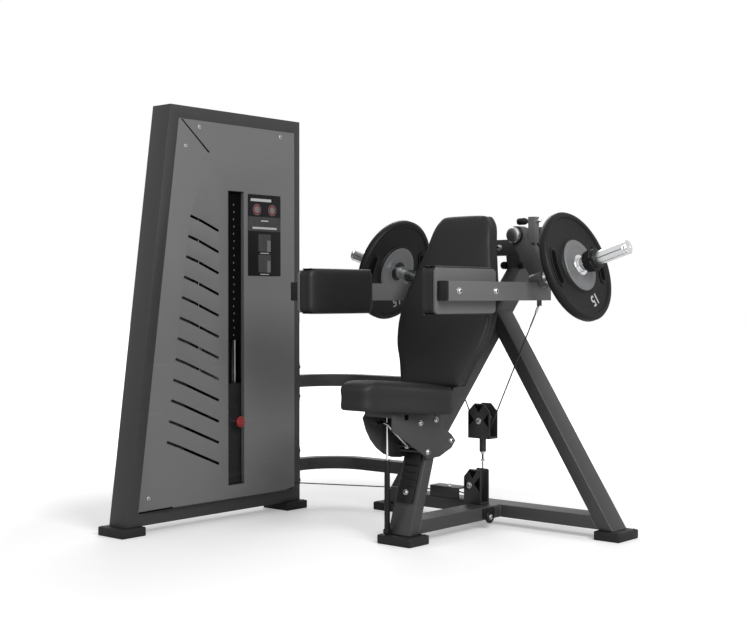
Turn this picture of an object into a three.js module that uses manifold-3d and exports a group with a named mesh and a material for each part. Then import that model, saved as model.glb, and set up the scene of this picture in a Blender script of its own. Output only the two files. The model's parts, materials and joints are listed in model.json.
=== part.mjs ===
// Lateral raise machine: a seated shoulder machine with two swinging arms and a guarded weight stack.
// Millimetres, +Z up. The user faces -X, the weight tower stands on the +Y side.
// The origin is on the floor, under the front foot.
import * as THREE from "three";
import { mergeVertices } from "three/addons/utils/BufferGeometryUtils.js";
import Module from "manifold-3d";

const wasm = await Module();
wasm.setup();

// Clearances
const gap = 0.4;
const overrun = 5;
const running = 1;

// Frame stock
const stock = { wide: 100, thick: 50, foot: 33.3 };
const floorBeam = { low: 35, high: 83 };

// Front post, leaning back, with the rack cover on its front face
const post = { lean: THREE.MathUtils.degToRad(18.7), depth: 48, half: 50, top: 520 };
const rack = { thick: 8.6, half: 35, low: 145, high: 320, ribLow: 200, ribPitch: 24, ribDepth: 3 };
const frontFoot = { front: -18, rear: 92, half: 75 };

// Rear legs, which rise inwards to the spine
const leg = { front: 555, lean: THREE.MathUtils.degToRad(32.7), spread: 535 };
const rearFoot = { front: 536, rear: 674, inner: 467, outer: 571 };

// Spine from the front post up to the cross-beam
const spine = { half: 30, lean: 0.9456, lowX: 266, lowZ: 384, span: 119, footZ: 330, heelZ: 350 };
const crossBeam = { front: 700, rear: 760, low: 1029, high: 1090 };
const backTube = { half: 30, depth: 40, top: 960, strutZ: 870, strutHigh: 40 };

// Weight tower
const tower = { front: 825, depth: 100, left: -525, lean: 0.1356, right: 370, top: 1582, sill: 52, post: 50 };
const towerFoot = { over: 21, left: -561, leftRear: -451, right: 277, rightRear: 394 };
const panel = { raise: 30, wall: 3, rim: 4, right: 338, face: 308, foldX: -152, foldBelow: 169, lowX: -336, lowZ: 90 };
const corner = { rise: 10, run: 50, notch: 115 };
const slot = { left: -53, right: 27, low: 144, below: 309 };
const slit = { count: 12, high: 10, topX: -236, topBelow: 411, lowX: -352, lowZ: 332, endX: -103, endBelow: 464, endLow: 229 };

// Weight stack
const stack = { half: 130, depth: 120, base: 130, pitch: 30, groove: 2, resting: 8, lifted: 4, head: 40 };
const guide = { radius: 12, spread: 95, clear: 2, behind: 30 };
const selector = { radius: 10, low: 150, pin: 4.5, knob: 21, knobLong: 26, stand: 5 };
const buffer = { half: 60, depth: 60 };

// Tie tubes between the tower and the far leg
const tie = { wide: 50, bend: 200, endX: 605, low: 148, high: 494, tall: 50, sides: 8 };
const flange = { thick: 12, half: 40, over: 55 };

// Cables and pulleys
const cable = { radius: 2.5, sides: 8 };
const wheel = { thick: 16, radius: 40, bore: 7, pin: 6 };
const housing = { x: 510, half: 27, cheek: 5.5, wide: 50, low: 334, high: 466, chamfer: 30, bridge: 8 };
const stem = { radius: 13, low: 284, thread: 4, threadLow: 246.4 };
const lowerPulley = { z: 154, rise: 62, front: 10, reach: 26, plate: 8 };
const floorPulley = { x: 587, y: 219, z: 105, radius: 24, half: 71, side: 32, plate: 6, wall: 6, top: 126 };
const towerPulley = { x: 300, z: 135, radius: 21, topRadius: 57, topBelow: 142, lug: 5, lugHalf: 14, lugGap: 3 };

// Arms
const pivot = { y: 130, z: 1097, barrel: 30, bore: 16, axle: 15, front: 520, cap: 4, plate: 24, plateHalf: 35 };
const arm = { y: 330, wide: 40, low: 854, high: 918, front: -165, kneeX: 240, innerX: 500, inner: 252, endX: 600, end: 222 };
const link = { front: 545, thick: 40, endY: 240, endZ: 925, wide: 34 };
const anchor = { y: 253, half: 6, drop: 20, hinge: 13, slit: 3, ear: 4 };
const padPlate = { front: -175, rear: 159, low: 811, high: 961, thick: 9.6, round: 15 };
const armPad = { front: -175, rear: 165, low: 806, high: 968, inner: 240, round: 28 };
const disc = { x: 492, y: 436, z: 979, radius: 202, thick: 33, tilt: THREE.MathUtils.degToRad(17.3), bore: 26 };
const hub = { radius: 90, proud: 5, rim: 16, dish: 5 };
const sleeve = { radius: 25, beyond: 205, socket: 31, socketIn: 205, socketOut: 150 };
const collar = { radius: 40, start: 30, end: 80 };
const pull = { x: 560, z: 1148, knob: 13, near: 124, knobEnd: 172, far: 227, rod: 6, lugHalf: 15, lugIn: 180, lugOut: 208, lugLow: 1066 };

// Seat
const seat = { nose: -240, rear: 146, noseHalf: 62, thick: 100, noseZ: 484, slope: THREE.MathUtils.degToRad(4.5) };
const back = { rear: 48.1, thick: 66, low: 545, high: 1166 };
const sidePlate = { inner: 57, outer: 63, bar: 5, top: 8, frontX: -96, topZ: 462, rearTopX: 190, rearTopZ: 442 };
const latch = { p: -14.8, z: 322, rearX: 166, rearZ: 310 };
const farPlate = { x: 90, z: 500, radius: 205 };
const gas = { x: -2, y: 40, z: 45, eye: 11.2, eyeHalf: 10, radius: 10, top: 295, bore: 5, deep: 135, rod: 4.5, in: 6, end: 445.8 };
const leverPath = [[44, 366], [7, 394], [-34, 427], [-62, 434]];
const lever = { y: 15, radius: 5, knob: 9, knobLong: 34, pin: 4, eye: 9, eyeHalf: 8, x: 81, z: 338 };

// Finishes
const finish = (color, roughness, metalness) => ({ color, roughness, metalness });
const paint = finish(0x3a3c40, 0.55, 0.3);
const sheet = finish(0x6a6c6f, 0.5, 0.3);
const black = finish(0x141415, 0.6, 0);
const rubber = finish(0x101010, 0.85, 0);
const vinyl = finish(0x161618, 0.5, 0);
const chrome = finish(0xc8cacc, 0.15, 1);
const iron = finish(0x202124, 0.6, 0.5);
const red = finish(0xa01818, 0.4, 0);

const machine = new THREE.Group();

function add(name, geometry, look) {
  const piece = new THREE.Mesh(geometry, new THREE.MeshStandardMaterial(look));
  piece.name = name;
  machine.add(piece);
}

// A closed geometry as a solid that can be joined and cut.
function solid(geometry) {
  const bare = geometry.clone();
  bare.deleteAttribute("normal");
  bare.deleteAttribute("uv");
  const merged = mergeVertices(bare);
  return new wasm.Manifold(
    new wasm.Mesh({
      numProp: 3,
      vertProperties: merged.attributes.position.array,
      triVerts: new Uint32Array(merged.index.array),
    }),
  );
}

function geometryOf(body) {
  const mesh = body.getMesh();
  return new THREE.BufferGeometry()
    .setAttribute("position", new THREE.BufferAttribute(mesh.vertProperties, 3))
    .setIndex(new THREE.BufferAttribute(mesh.triVerts, 1));
}

function join(...parts) {
  return geometryOf(parts.map(solid).reduce((whole, part) => whole.add(part)));
}

function cut(body, ...tools) {
  return geometryOf(tools.map(solid).reduce((whole, tool) => whole.subtract(tool), solid(body)));
}

// An outline carried along one axis. Its points are (y, z) for x, (x, z) for y and (x, y) for z.
function prism(axis, points, from, to) {
  const outline = new THREE.Shape(points.map(([u, v]) => new THREE.Vector2(u, v)));
  const body = new THREE.ExtrudeGeometry(outline, { depth: to - from, bevelEnabled: false });
  const [x, y, z] = [new THREE.Vector3(1, 0, 0), new THREE.Vector3(0, 1, 0), new THREE.Vector3(0, 0, 1)];
  if (axis === "x") return body.applyMatrix4(new THREE.Matrix4().makeBasis(y, z, x)).translate(from, 0, 0);
  if (axis === "y") return body.applyMatrix4(new THREE.Matrix4().makeBasis(x, z, y.negate())).translate(0, to, 0);
  return body.translate(0, 0, from);
}

function box(x0, x1, y0, y1, z0, z1) {
  return prism("z", [[x0, y0], [x1, y0], [x1, y1], [x0, y1]], z0, z1);
}

function rod(from, to, radius, sides = 16) {
  const a = new THREE.Vector3(...from);
  const b = new THREE.Vector3(...to);
  const way = b.clone().sub(a);
  const turn = new THREE.Quaternion().setFromUnitVectors(new THREE.Vector3(0, 1, 0), way.clone().normalize());
  const middle = a.add(b).multiplyScalar(0.5);
  return new THREE.CylinderGeometry(radius, radius, way.length(), sides)
    .applyQuaternion(turn)
    .translate(middle.x, middle.y, middle.z);
}

// A round tube through a list of points, with closed ends.
function tube(points, radius, sides) {
  const places = points.map((p) => new THREE.Vector3(...p));
  const vertices = [];
  const faces = [];
  let side = new THREE.Vector3(1, 0, 0);
  places.forEach((place, i) => {
    const before = places[Math.max(i - 1, 0)];
    const after = places[Math.min(i + 1, places.length - 1)];
    const along = after.clone().sub(before).normalize();
    if (Math.abs(side.dot(along)) > 0.9) side = new THREE.Vector3(0, 1, 0);
    side = side.clone().addScaledVector(along, -side.dot(along)).normalize();
    const up = along.clone().cross(side);
    for (let k = 0; k < sides; k += 1) {
      const turn = (2 * Math.PI * k) / sides;
      const reach = side.clone().multiplyScalar(Math.cos(turn)).addScaledVector(up, Math.sin(turn));
      vertices.push(...place.clone().addScaledVector(reach, radius).toArray());
    }
  });
  for (let i = 0; i + 1 < places.length; i += 1) {
    for (let k = 0; k < sides; k += 1) {
      const next = (k + 1) % sides;
      const [a, b, c, d] = [i * sides + k, i * sides + next, (i + 1) * sides + next, (i + 1) * sides + k];
      faces.push(a, b, c, a, c, d);
    }
  }
  const last = (places.length - 1) * sides;
  for (let k = 1; k + 1 < sides; k += 1) {
    faces.push(0, k + 1, k);
    faces.push(last, last + k, last + k + 1);
  }
  return new THREE.BufferGeometry()
    .setAttribute("position", new THREE.BufferAttribute(new Float32Array(vertices), 3))
    .setIndex(faces);
}

function arc(centre, radius, from, to, steps) {
  return Array.from({ length: steps + 1 }, (_, i) => {
    const turn = from + ((to - from) * i) / steps;
    return [centre[0] + radius * Math.cos(turn), centre[1] + radius * Math.sin(turn)];
  });
}

function roundedBox(low, high, round, steps = 4) {
  const quarter = Math.PI / 2;
  return [
    ...arc([high[0] - round, high[1] - round], round, 0, quarter, steps),
    ...arc([low[0] + round, high[1] - round], round, quarter, 2 * quarter, steps),
    ...arc([low[0] + round, low[1] + round], round, 2 * quarter, 3 * quarter, steps),
    ...arc([high[0] - round, low[1] + round], round, 3 * quarter, 4 * quarter, steps),
  ];
}

// The outline of a flat strip of one width along a bent centre line.
function ribbon(line, width) {
  const edge = (sign) =>
    line.map(([u, v], i) => {
      const [bu, bv] = line[Math.max(i - 1, 0)];
      const [au, av] = line[Math.min(i + 1, line.length - 1)];
      const length = Math.hypot(au - bu, av - bv);
      return [u - (sign * width * (av - bv)) / length / 2, v + (sign * width * (au - bu)) / length / 2];
    });
  return [...edge(1), ...edge(-1).reverse()];
}

// A cushion: rings of its outline stacked through its thickness, drawn in at mid side and crowned on top.
// Each level is a share of the thickness and a share by which the outline shrinks towards its middle.
const cushionLevelShares = [[0, 0.05], [0.1, 0.005], [0.4, 0.02], [0.7, 0], [0.86, 0.03], [0.95, 0.13], [0.99, 0.34], [1, 0.62]];
function cushion(outline, thickness, place) {
  const centre = outline.reduce(([u, v], p) => [u + p[0] / outline.length, v + p[1] / outline.length], [0, 0]);
  const vertices = [];
  const faces = [];
  const count = outline.length;
  cushionLevelShares.forEach(([rise, shrink]) => {
    outline.forEach(([u, v]) => {
      const [a, b] = [u + (centre[0] - u) * shrink, v + (centre[1] - v) * shrink];
      vertices.push(...place(a, b, rise * thickness));
    });
  });
  cushionLevelShares.slice(1).forEach((_, level) => {
    for (let k = 0; k < count; k += 1) {
      const next = (k + 1) % count;
      const [a, b] = [level * count + k, level * count + next];
      faces.push(a, b, b + count, a, b + count, a + count);
    }
  });
  const top = (cushionLevelShares.length - 1) * count;
  const middle = cushionLevelShares.length * count;
  vertices.push(...place(centre[0], centre[1], 0), ...place(centre[0], centre[1], thickness));
  for (let k = 0; k < count; k += 1) {
    const next = (k + 1) % count;
    faces.push(middle, next, k);
    faces.push(middle + 1, top + k, top + next);
  }
  return new THREE.BufferGeometry()
    .setAttribute("position", new THREE.BufferAttribute(new Float32Array(vertices), 3))
    .setIndex(faces);
}

// The place at a depth behind the post's front face, at a height.
const atPost = (depth, z) => [(depth + Math.sin(post.lean) * z) / Math.cos(post.lean), z];
const spineLow = (z) => spine.lowX + (z - spine.lowZ) * spine.lean;
const spineHigh = (z) => spineLow(z) - spine.span;
const legOuter = (z) => leg.spread - (z - stock.foot) * Math.tan(leg.lean);
const legInner = (z) => legOuter(z) - stock.thick / Math.cos(leg.lean);

// Front post and base
function makeBase() {
  add("front_foot", box(frontFoot.front, frontFoot.rear, -frontFoot.half, frontFoot.half, 0, stock.foot - gap), black);
  const low = stock.foot;
  const outline = [atPost(0, low), atPost(post.depth, low), atPost(post.depth, post.top), atPost(0, post.top)];
  add("front_post", prism("y", outline, -post.half, post.half), paint);
  const ribs = [];
  const face = -gap - rack.thick;
  for (let z = rack.ribLow; z + rack.ribPitch < rack.high; z += rack.ribPitch) {
    const [mid, end] = [z + rack.ribPitch / 3, z + (2 * rack.ribPitch) / 3];
    ribs.push(atPost(face, z), atPost(face + rack.ribDepth, z), atPost(face + rack.ribDepth, mid), atPost(face, end));
  }
  const cover = [atPost(-gap, rack.low), atPost(face, rack.low), ...ribs, atPost(face, rack.high), atPost(-gap, rack.high)];
  add("rack_cover", prism("y", cover, -rack.half, rack.half), black);
  const behind = post.depth + gap;
  const beam = [
    atPost(behind, floorBeam.low),
    [leg.front + overrun, floorBeam.low],
    [leg.front + overrun, floorBeam.high],
    atPost(behind, floorBeam.high),
  ];
  const cross = [
    [gap - legInner(floorBeam.low), floorBeam.low],
    [legInner(floorBeam.low) - gap, floorBeam.low],
    [legInner(floorBeam.high) - gap, floorBeam.high],
    [gap - legInner(floorBeam.high), floorBeam.high],
  ];
  const rear = leg.front + stock.wide;
  add("base_frame", join(prism("y", beam, -post.half, post.half), prism("x", cross, leg.front, rear)), paint);
}

function makeLegs() {
  const seam = spine.half + gap;
  const topOuter = stock.foot + (leg.spread - seam) / Math.tan(leg.lean);
  const topInner = topOuter - stock.thick / Math.sin(leg.lean);
  for (const [name, side] of [["near", -1], ["far", 1]]) {
    const outline = [
      [side * legOuter(stock.foot), stock.foot],
      [side * seam, topOuter],
      [side * seam, topInner],
      [side * legInner(stock.foot), stock.foot],
    ];
    add(name + "_leg", prism("x", outline, leg.front, leg.front + stock.wide), paint);
    const [a, b] = [side * rearFoot.inner, side * rearFoot.outer];
    const foot = box(rearFoot.front, rearFoot.rear, Math.min(a, b), Math.max(a, b), 0, stock.foot - gap);
    add(name + "_rear_foot", foot, black);
  }
}

function makeSpine() {
  const behind = post.depth + gap;
  const rise = spine.lowX - spine.span - spine.lowZ * spine.lean;
  const meet = (depth) => (depth / Math.cos(post.lean) - rise) / (spine.lean - Math.tan(post.lean));
  const top = crossBeam.low - gap;
  const outline = [
    atPost(behind, spine.footZ),
    [spineLow(spine.heelZ), spine.heelZ],
    [spineLow(top - stock.thick - stock.foot), top - stock.thick - stock.foot],
    [crossBeam.rear, top],
    [crossBeam.front, top],
    [spineHigh(top - stock.thick), top - stock.thick],
    atPost(behind, meet(behind)),
  ];
  add("spine", prism("y", outline, -spine.half, spine.half), paint);
  const [near, far] = [behind + gap, behind + backTube.depth];
  const column = [
    atPost(near, meet(near) + overrun),
    atPost(near, backTube.top),
    atPost(far, backTube.top),
    atPost(far, meet(far) + overrun),
  ];
  const [low, high] = [backTube.strutZ, backTube.strutZ + backTube.strutHigh];
  const strut = [
    atPost(near + backTube.depth / 2, low),
    [spineHigh(low) - overrun, low],
    [spineHigh(high) - overrun, high],
    atPost(near + backTube.depth / 2, high),
  ];
  const half = backTube.half;
  add("back_support", join(prism("y", column, -half, half), prism("y", strut, -half, half)), paint);
}

function makeCrossBeam() {
  const half = pivot.y + pivot.plateHalf;
  const parts = [box(crossBeam.front, crossBeam.rear, -half, half, crossBeam.low, crossBeam.high)];
  for (const side of [-1, 1]) {
    const y = side * pivot.y;
    const rear = crossBeam.front + overrun;
    const front = crossBeam.front - pivot.plate;
    const top = pivot.z + pivot.plateHalf;
    parts.push(box(front, rear, y - pivot.plateHalf, y + pivot.plateHalf, crossBeam.low, top));
    parts.push(rod([pivot.front + pivot.cap + running, y, pivot.z], [rear, y, pivot.z], pivot.axle));
  }
  add("cross_beam", join(...parts), paint);
}

makeBase();
makeLegs();
makeSpine();
makeCrossBeam();

// Weight tower: a welded ring of tubes, with lugs for its two pulleys
const towerRear = tower.front + tower.depth;
const towerMid = tower.front + tower.depth / 2;
const towerLeft = (z) => tower.left + (z - stock.foot) * tower.lean;
const stackX = (slot.left + slot.right) / 2;
const postFace = tower.right - tower.post;
const sillTop = stock.foot + tower.sill;
const headLow = tower.top - tower.sill;
const cableOffset = cable.radius + gap;
const towerWheelY = towerMid - towerPulley.radius - cableOffset;
const topWheelX = stackX + towerPulley.topRadius + cableOffset;
const topWheelZ = tower.top - towerPulley.topBelow;
const foldZ = tower.top - panel.foldBelow;
const [slitTop, slitEnd] = [tower.top - slit.topBelow, tower.top - slit.endBelow];

function makeTower() {
  const outer = [[towerLeft(stock.foot), stock.foot], [tower.right, stock.foot], [tower.right, tower.top], [towerLeft(tower.top), tower.top]];
  const inner = [
    [towerLeft(sillTop) + tower.post, sillTop],
    [postFace, sillTop],
    [postFace, headLow],
    [towerLeft(headLow) + tower.post, headLow],
  ];
  const ring = cut(prism("y", outer, tower.front, towerRear), prism("y", inner, tower.front - overrun, towerRear + overrun));
  const wheelSide = wheel.thick / 2 + towerPulley.lugGap;
  const [lugIn, lugOut] = [wheelSide, wheelSide + towerPulley.lug];
  const [left, right] = [topWheelX - towerPulley.lugHalf, topWheelX + towerPulley.lugHalf];
  const lugLow = topWheelZ - towerPulley.lugHalf;
  const lugTop = headLow + overrun;
  add(
    "tower_frame",
    join(
      ring,
      box(left, right, towerMid - lugOut, towerMid - lugIn, lugLow, lugTop),
      box(left, right, towerMid + lugIn, towerMid + lugOut, lugLow, lugTop),
      rod([topWheelX, towerMid - lugOut, topWheelZ], [topWheelX, towerMid + lugOut, topWheelZ], wheel.pin),
      rod([towerPulley.x - lugOut, towerWheelY, towerPulley.z], [postFace + overrun, towerWheelY, towerPulley.z], wheel.pin),
    ),
    paint,
  );
  const [y0, y1] = [tower.front - towerFoot.over, towerRear + towerFoot.over];
  add("tower_left_foot", box(towerFoot.left, towerFoot.leftRear, y0, y1, 0, stock.foot - gap), black);
  add("tower_right_foot", box(towerFoot.right, towerFoot.rightRear, y0, y1, 0, stock.foot - gap), black);
}

// One side of the tower's guard: a folded sheet that stands proud of the frame, open towards the stack.
function guardForm(face, outward, inset) {
  const rimLeft = (z) => towerLeft(z) + tower.post - panel.rim + inset;
  const [low, high] = [sillTop - panel.rim + inset, headLow + panel.rim - inset];
  const [right, faceRight] = [panel.right - inset, panel.face - inset];
  const cutX = faceRight - corner.run;
  const rim = [[rimLeft(low), low], [cutX, low], [right, low + corner.rise], [right, high], [rimLeft(high), high]];
  const proud = [
    [panel.lowX + inset, panel.lowZ + inset],
    [cutX, panel.lowZ + inset],
    [faceRight, panel.lowZ + inset + corner.rise],
    [faceRight, foldZ - inset],
    [panel.foldX + inset, foldZ - inset],
  ];
  const base = face + outward * gap - outward * (inset ? overrun : 0);
  const top = face + outward * (panel.raise - inset);
  const seat = face + outward * gap;
  const vertices = [];
  rim.forEach(([x, z]) => vertices.push(x, base, z));
  rim.forEach(([x, z]) => vertices.push(x, seat, z));
  proud.forEach(([x, z]) => vertices.push(x, top, z));
  const count = rim.length;
  const faces = [];
  for (let ring = 0; ring < 2; ring += 1) {
    if (ring === 0 && !inset) continue;
    for (let k = 0; k < count; k += 1) {
      const next = (k + 1) % count;
      const [a, b, c, d] = [ring * count + k, ring * count + next, (ring + 1) * count + next, (ring + 1) * count + k];
      faces.push(a, b, c, a, c, d);
    }
  }
  const foot = inset ? 0 : count;
  for (let k = 1; k + 1 < count; k += 1) {
    faces.push(foot, foot + k + 1, foot + k);
    faces.push(2 * count, 2 * count + k, 2 * count + k + 1);
  }
  if (outward > 0) faces.reverse();
  const form = new THREE.BufferGeometry()
    .setAttribute("position", new THREE.BufferAttribute(new Float32Array(vertices), 3))
    .setIndex(faces);
  return form.toNonIndexed();
}

function makeGuards() {
  const reach = panel.raise + overrun;
  const [front, back] = [tower.front - reach, tower.front + overrun];
  const cuts = [
    box(slot.left, slot.right, front, back, slot.low, tower.top - slot.below),
    box(panel.face + running, panel.right + overrun, front, back, stock.foot, corner.notch),
  ];
  for (let i = 0; i < slit.count; i += 1) {
    const share = i / (slit.count - 1);
    const [x0, z0] = [slit.topX + (slit.lowX - slit.topX) * share, slitTop + (slit.lowZ - slitTop) * share];
    const z1 = slitEnd + (slit.endLow - slitEnd) * share;
    cuts.push(prism("y", ribbon([[x0, z0], [slit.endX, z1]], slit.high), front, back));
  }
  const front_panel = cut(guardForm(tower.front, -1, 0), guardForm(tower.front, -1, panel.wall), ...cuts);
  add("front_panel", front_panel, sheet);
  add("rear_panel", cut(guardForm(towerRear, 1, 0), guardForm(towerRear, 1, panel.wall)), sheet);
}

// Weight stack: the plates are grooved blocks, one for the resting plates and one for the lifted ones
const restTop = stack.base + stack.resting * stack.pitch;
const liftTop = restTop + stack.lifted * stack.pitch;
const pinZ = restTop + stack.pitch / 2;
const rodsX = [stackX - guide.spread, stackX + guide.spread];
const guideY = towerMid + guide.behind;

function plates(low, high, extra) {
  const [y0, y1] = [towerMid - stack.depth / 2, towerMid + stack.depth / 2];
  const side = [];
  for (let z = low + stack.pitch; z < high - stack.pitch / 2; z += stack.pitch) {
    side.push([z - stack.groove / 2, 0], [z - stack.groove / 2, stack.groove], [z + stack.groove / 2, stack.groove], [z + stack.groove / 2, 0]);
  }
  const [left, right] = [stackX - stack.half, stackX + stack.half];
  const outline = [
    [left, low],
    ...side.map(([z, depth]) => [left + depth, z]),
    [left, high],
    [right, high],
    ...side.map(([z, depth]) => [right - depth, z]).reverse(),
    [right, low],
  ];
  const holes = rodsX.map((x) => rod([x, guideY, low - overrun], [x, guideY, high + overrun], guide.radius + guide.clear, 10));
  holes.push(rod([stackX, towerMid, low - overrun], [stackX, towerMid, high + overrun], selector.radius + guide.clear, 10));
  return cut(prism("y", outline, y0, y1), ...holes, ...extra);
}

function makeStack() {
  for (const [i, name] of ["guide_rod_left", "guide_rod_right"].entries()) {
    add(name, rod([rodsX[i], guideY, sillTop + gap], [rodsX[i], guideY, headLow - gap], guide.radius, 12), chrome);
  }
  const [y0, y1] = [towerMid - buffer.depth / 2, towerMid + buffer.depth / 2];
  const rest = box(stackX - buffer.half, stackX + buffer.half, y0, y1, sillTop + gap, stack.base - gap);
  add("stack_buffer", rest, rubber);
  add("resting_plates", plates(stack.base, restTop - gap, []), iron);
  const pinFront = tower.front - panel.raise - selector.stand;
  const pinHole = rod([stackX, pinFront, pinZ], [stackX, towerMid + selector.radius, pinZ], selector.pin + running, 10);
  add("lifted_plates", plates(restTop, liftTop - gap, [pinHole]), iron);
  const head = box(stackX - stack.half, stackX + stack.half, towerMid - stack.depth / 2, towerMid + stack.depth / 2, liftTop, liftTop + stack.head);
  const spindle = rod([stackX, towerMid, selector.low], [stackX, towerMid, liftTop + overrun], selector.radius, 10);
  const guides = rodsX.map((x) => rod([x, guideY, liftTop - overrun], [x, guideY, liftTop + stack.head + overrun], guide.radius + guide.clear, 10));
  add("selector_rod", cut(join(head, spindle), pinHole, ...guides), iron);
  const knob = rod([stackX, pinFront - selector.knobLong, pinZ], [stackX, pinFront, pinZ], selector.knob, 20);
  const pin = rod([stackX, pinFront - overrun, pinZ], [stackX, towerMid, pinZ], selector.pin, 10);
  add("selector_pin", join(knob, pin), red);
}

// Tie tubes: each leaves the tower's right post, bends round and meets the far leg's outer face
function makeTies() {
  const quarter = Math.PI / 2;
  const start = tower.right + gap;
  const half = tie.wide / 2;
  const centre = [tie.endX - tie.bend, towerMid - tie.bend];
  const end = stock.foot;
  for (const [name, low] of [["lower_tie_tube", tie.low], ["upper_tie_tube", tie.high]]) {
    const high = low + tie.tall;
    const outline = [
      [start, towerMid + half],
      ...arc(centre, tie.bend + half, quarter, 0, tie.sides),
      [tie.endX + half, end],
      [tie.endX - half, end],
      ...arc(centre, tie.bend - half, 0, quarter, tie.sides),
      [start, towerMid - half],
    ];
    const [z0, z1] = [low - overrun, high + overrun];
    const legSide = [[-stock.wide, z0], [legOuter(z0) + gap, z0], [legOuter(z1) + gap, z1], [-stock.wide, z1]];
    const bar = cut(prism("z", outline, low, high), prism("x", legSide, 0, tower.right * 2));
    const [y0, y1] = [towerMid - flange.half, towerMid + flange.half];
    const plate = box(start, start + flange.thick, y0, y1, low - flange.over, high + flange.over);
    add(name, join(bar, plate), paint);
  }
}

makeTower();
makeGuards();
makeStack();
makeTies();

// A pulley wheel about an axis through its middle, with a bore for its pin
function pulley(centre, axis, radius) {
  const way = new THREE.Vector3(...axis);
  const end = (offset) => new THREE.Vector3(...centre).addScaledVector(way, offset).toArray();
  const half = wheel.thick / 2;
  return cut(rod(end(-half), end(half), radius, 24), rod(end(-half - overrun), end(half + overrun), wheel.bore, 12));
}

const lowerY = wheel.radius + cableOffset;
const floatZ = (housing.low + housing.high) / 2;
const [across, alongY, alongZ] = [[1, 0, 0], [0, 1, 0], [0, 0, 1]];

function makePulleys() {
  const [x0, x1] = [housing.x - housing.half, housing.x + housing.half];
  const cheek = (points) => [prism("x", points, x0, x0 + housing.cheek), prism("x", points, x1 - housing.cheek, x1)];
  const half = housing.wide;
  const shoulder = housing.high - housing.chamfer;
  const floating = [
    [-half, housing.low],
    [half, housing.low],
    [half, shoulder],
    [half - housing.chamfer, housing.high],
    [housing.chamfer - half, housing.high],
    [-half, shoulder],
  ];
  add(
    "floating_housing",
    join(
      ...cheek(floating),
      box(x0, x1, -half, half, housing.low, housing.low + housing.bridge),
      rod([x0, 0, floatZ], [x1, 0, floatZ], wheel.pin, 12),
      rod([housing.x, 0, stem.low], [housing.x, 0, housing.low + running], stem.radius),
      rod([housing.x, 0, stem.threadLow], [housing.x, 0, stem.low + running], stem.thread, 10),
    ),
    black,
  );
  add("floating_wheel", pulley([housing.x, 0, floatZ], across, wheel.radius), black);

  const seatZ = floorBeam.high + gap;
  const top = lowerPulley.z + lowerPulley.rise;
  const [front, rear] = [-lowerPulley.front, lowerY + lowerPulley.reach];
  const lower = [[front, seatZ], [rear, seatZ], [rear, top - housing.chamfer], [lowerY, top], [front + overrun, top], [front, top - overrun]];
  add(
    "lower_pulley_housing",
    join(
      ...cheek(lower),
      box(x0, x1, front, rear, seatZ, seatZ + lowerPulley.plate),
      rod([x0, lowerY, lowerPulley.z], [x1, lowerY, lowerPulley.z], wheel.pin, 12),
    ),
    black,
  );
  add("lower_wheel", pulley([housing.x, lowerY, lowerPulley.z], across, wheel.radius), black);

  const { x, y, z, side, top: lid } = floorPulley;
  const [y0, y1] = [y - floorPulley.half, y + floorPulley.half];
  add(
    "floor_pulley_housing",
    join(
      box(x - side, x + side, y0, y1, lid - floorPulley.plate, lid),
      box(x - side, x - side + floorPulley.wall, y0, y1, seatZ, lid),
      rod([x, y, seatZ], [x, y, lid - running], wheel.pin, 12),
    ),
    black,
  );
  add("floor_wheel", pulley([x, y, z], alongZ, floorPulley.radius), black);
  add("tower_lower_wheel", pulley([towerPulley.x, towerWheelY, towerPulley.z], across, towerPulley.radius), black);
  add("tower_top_wheel", pulley([topWheelX, towerMid, topWheelZ], alongY, towerPulley.topRadius), black);
}

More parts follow.
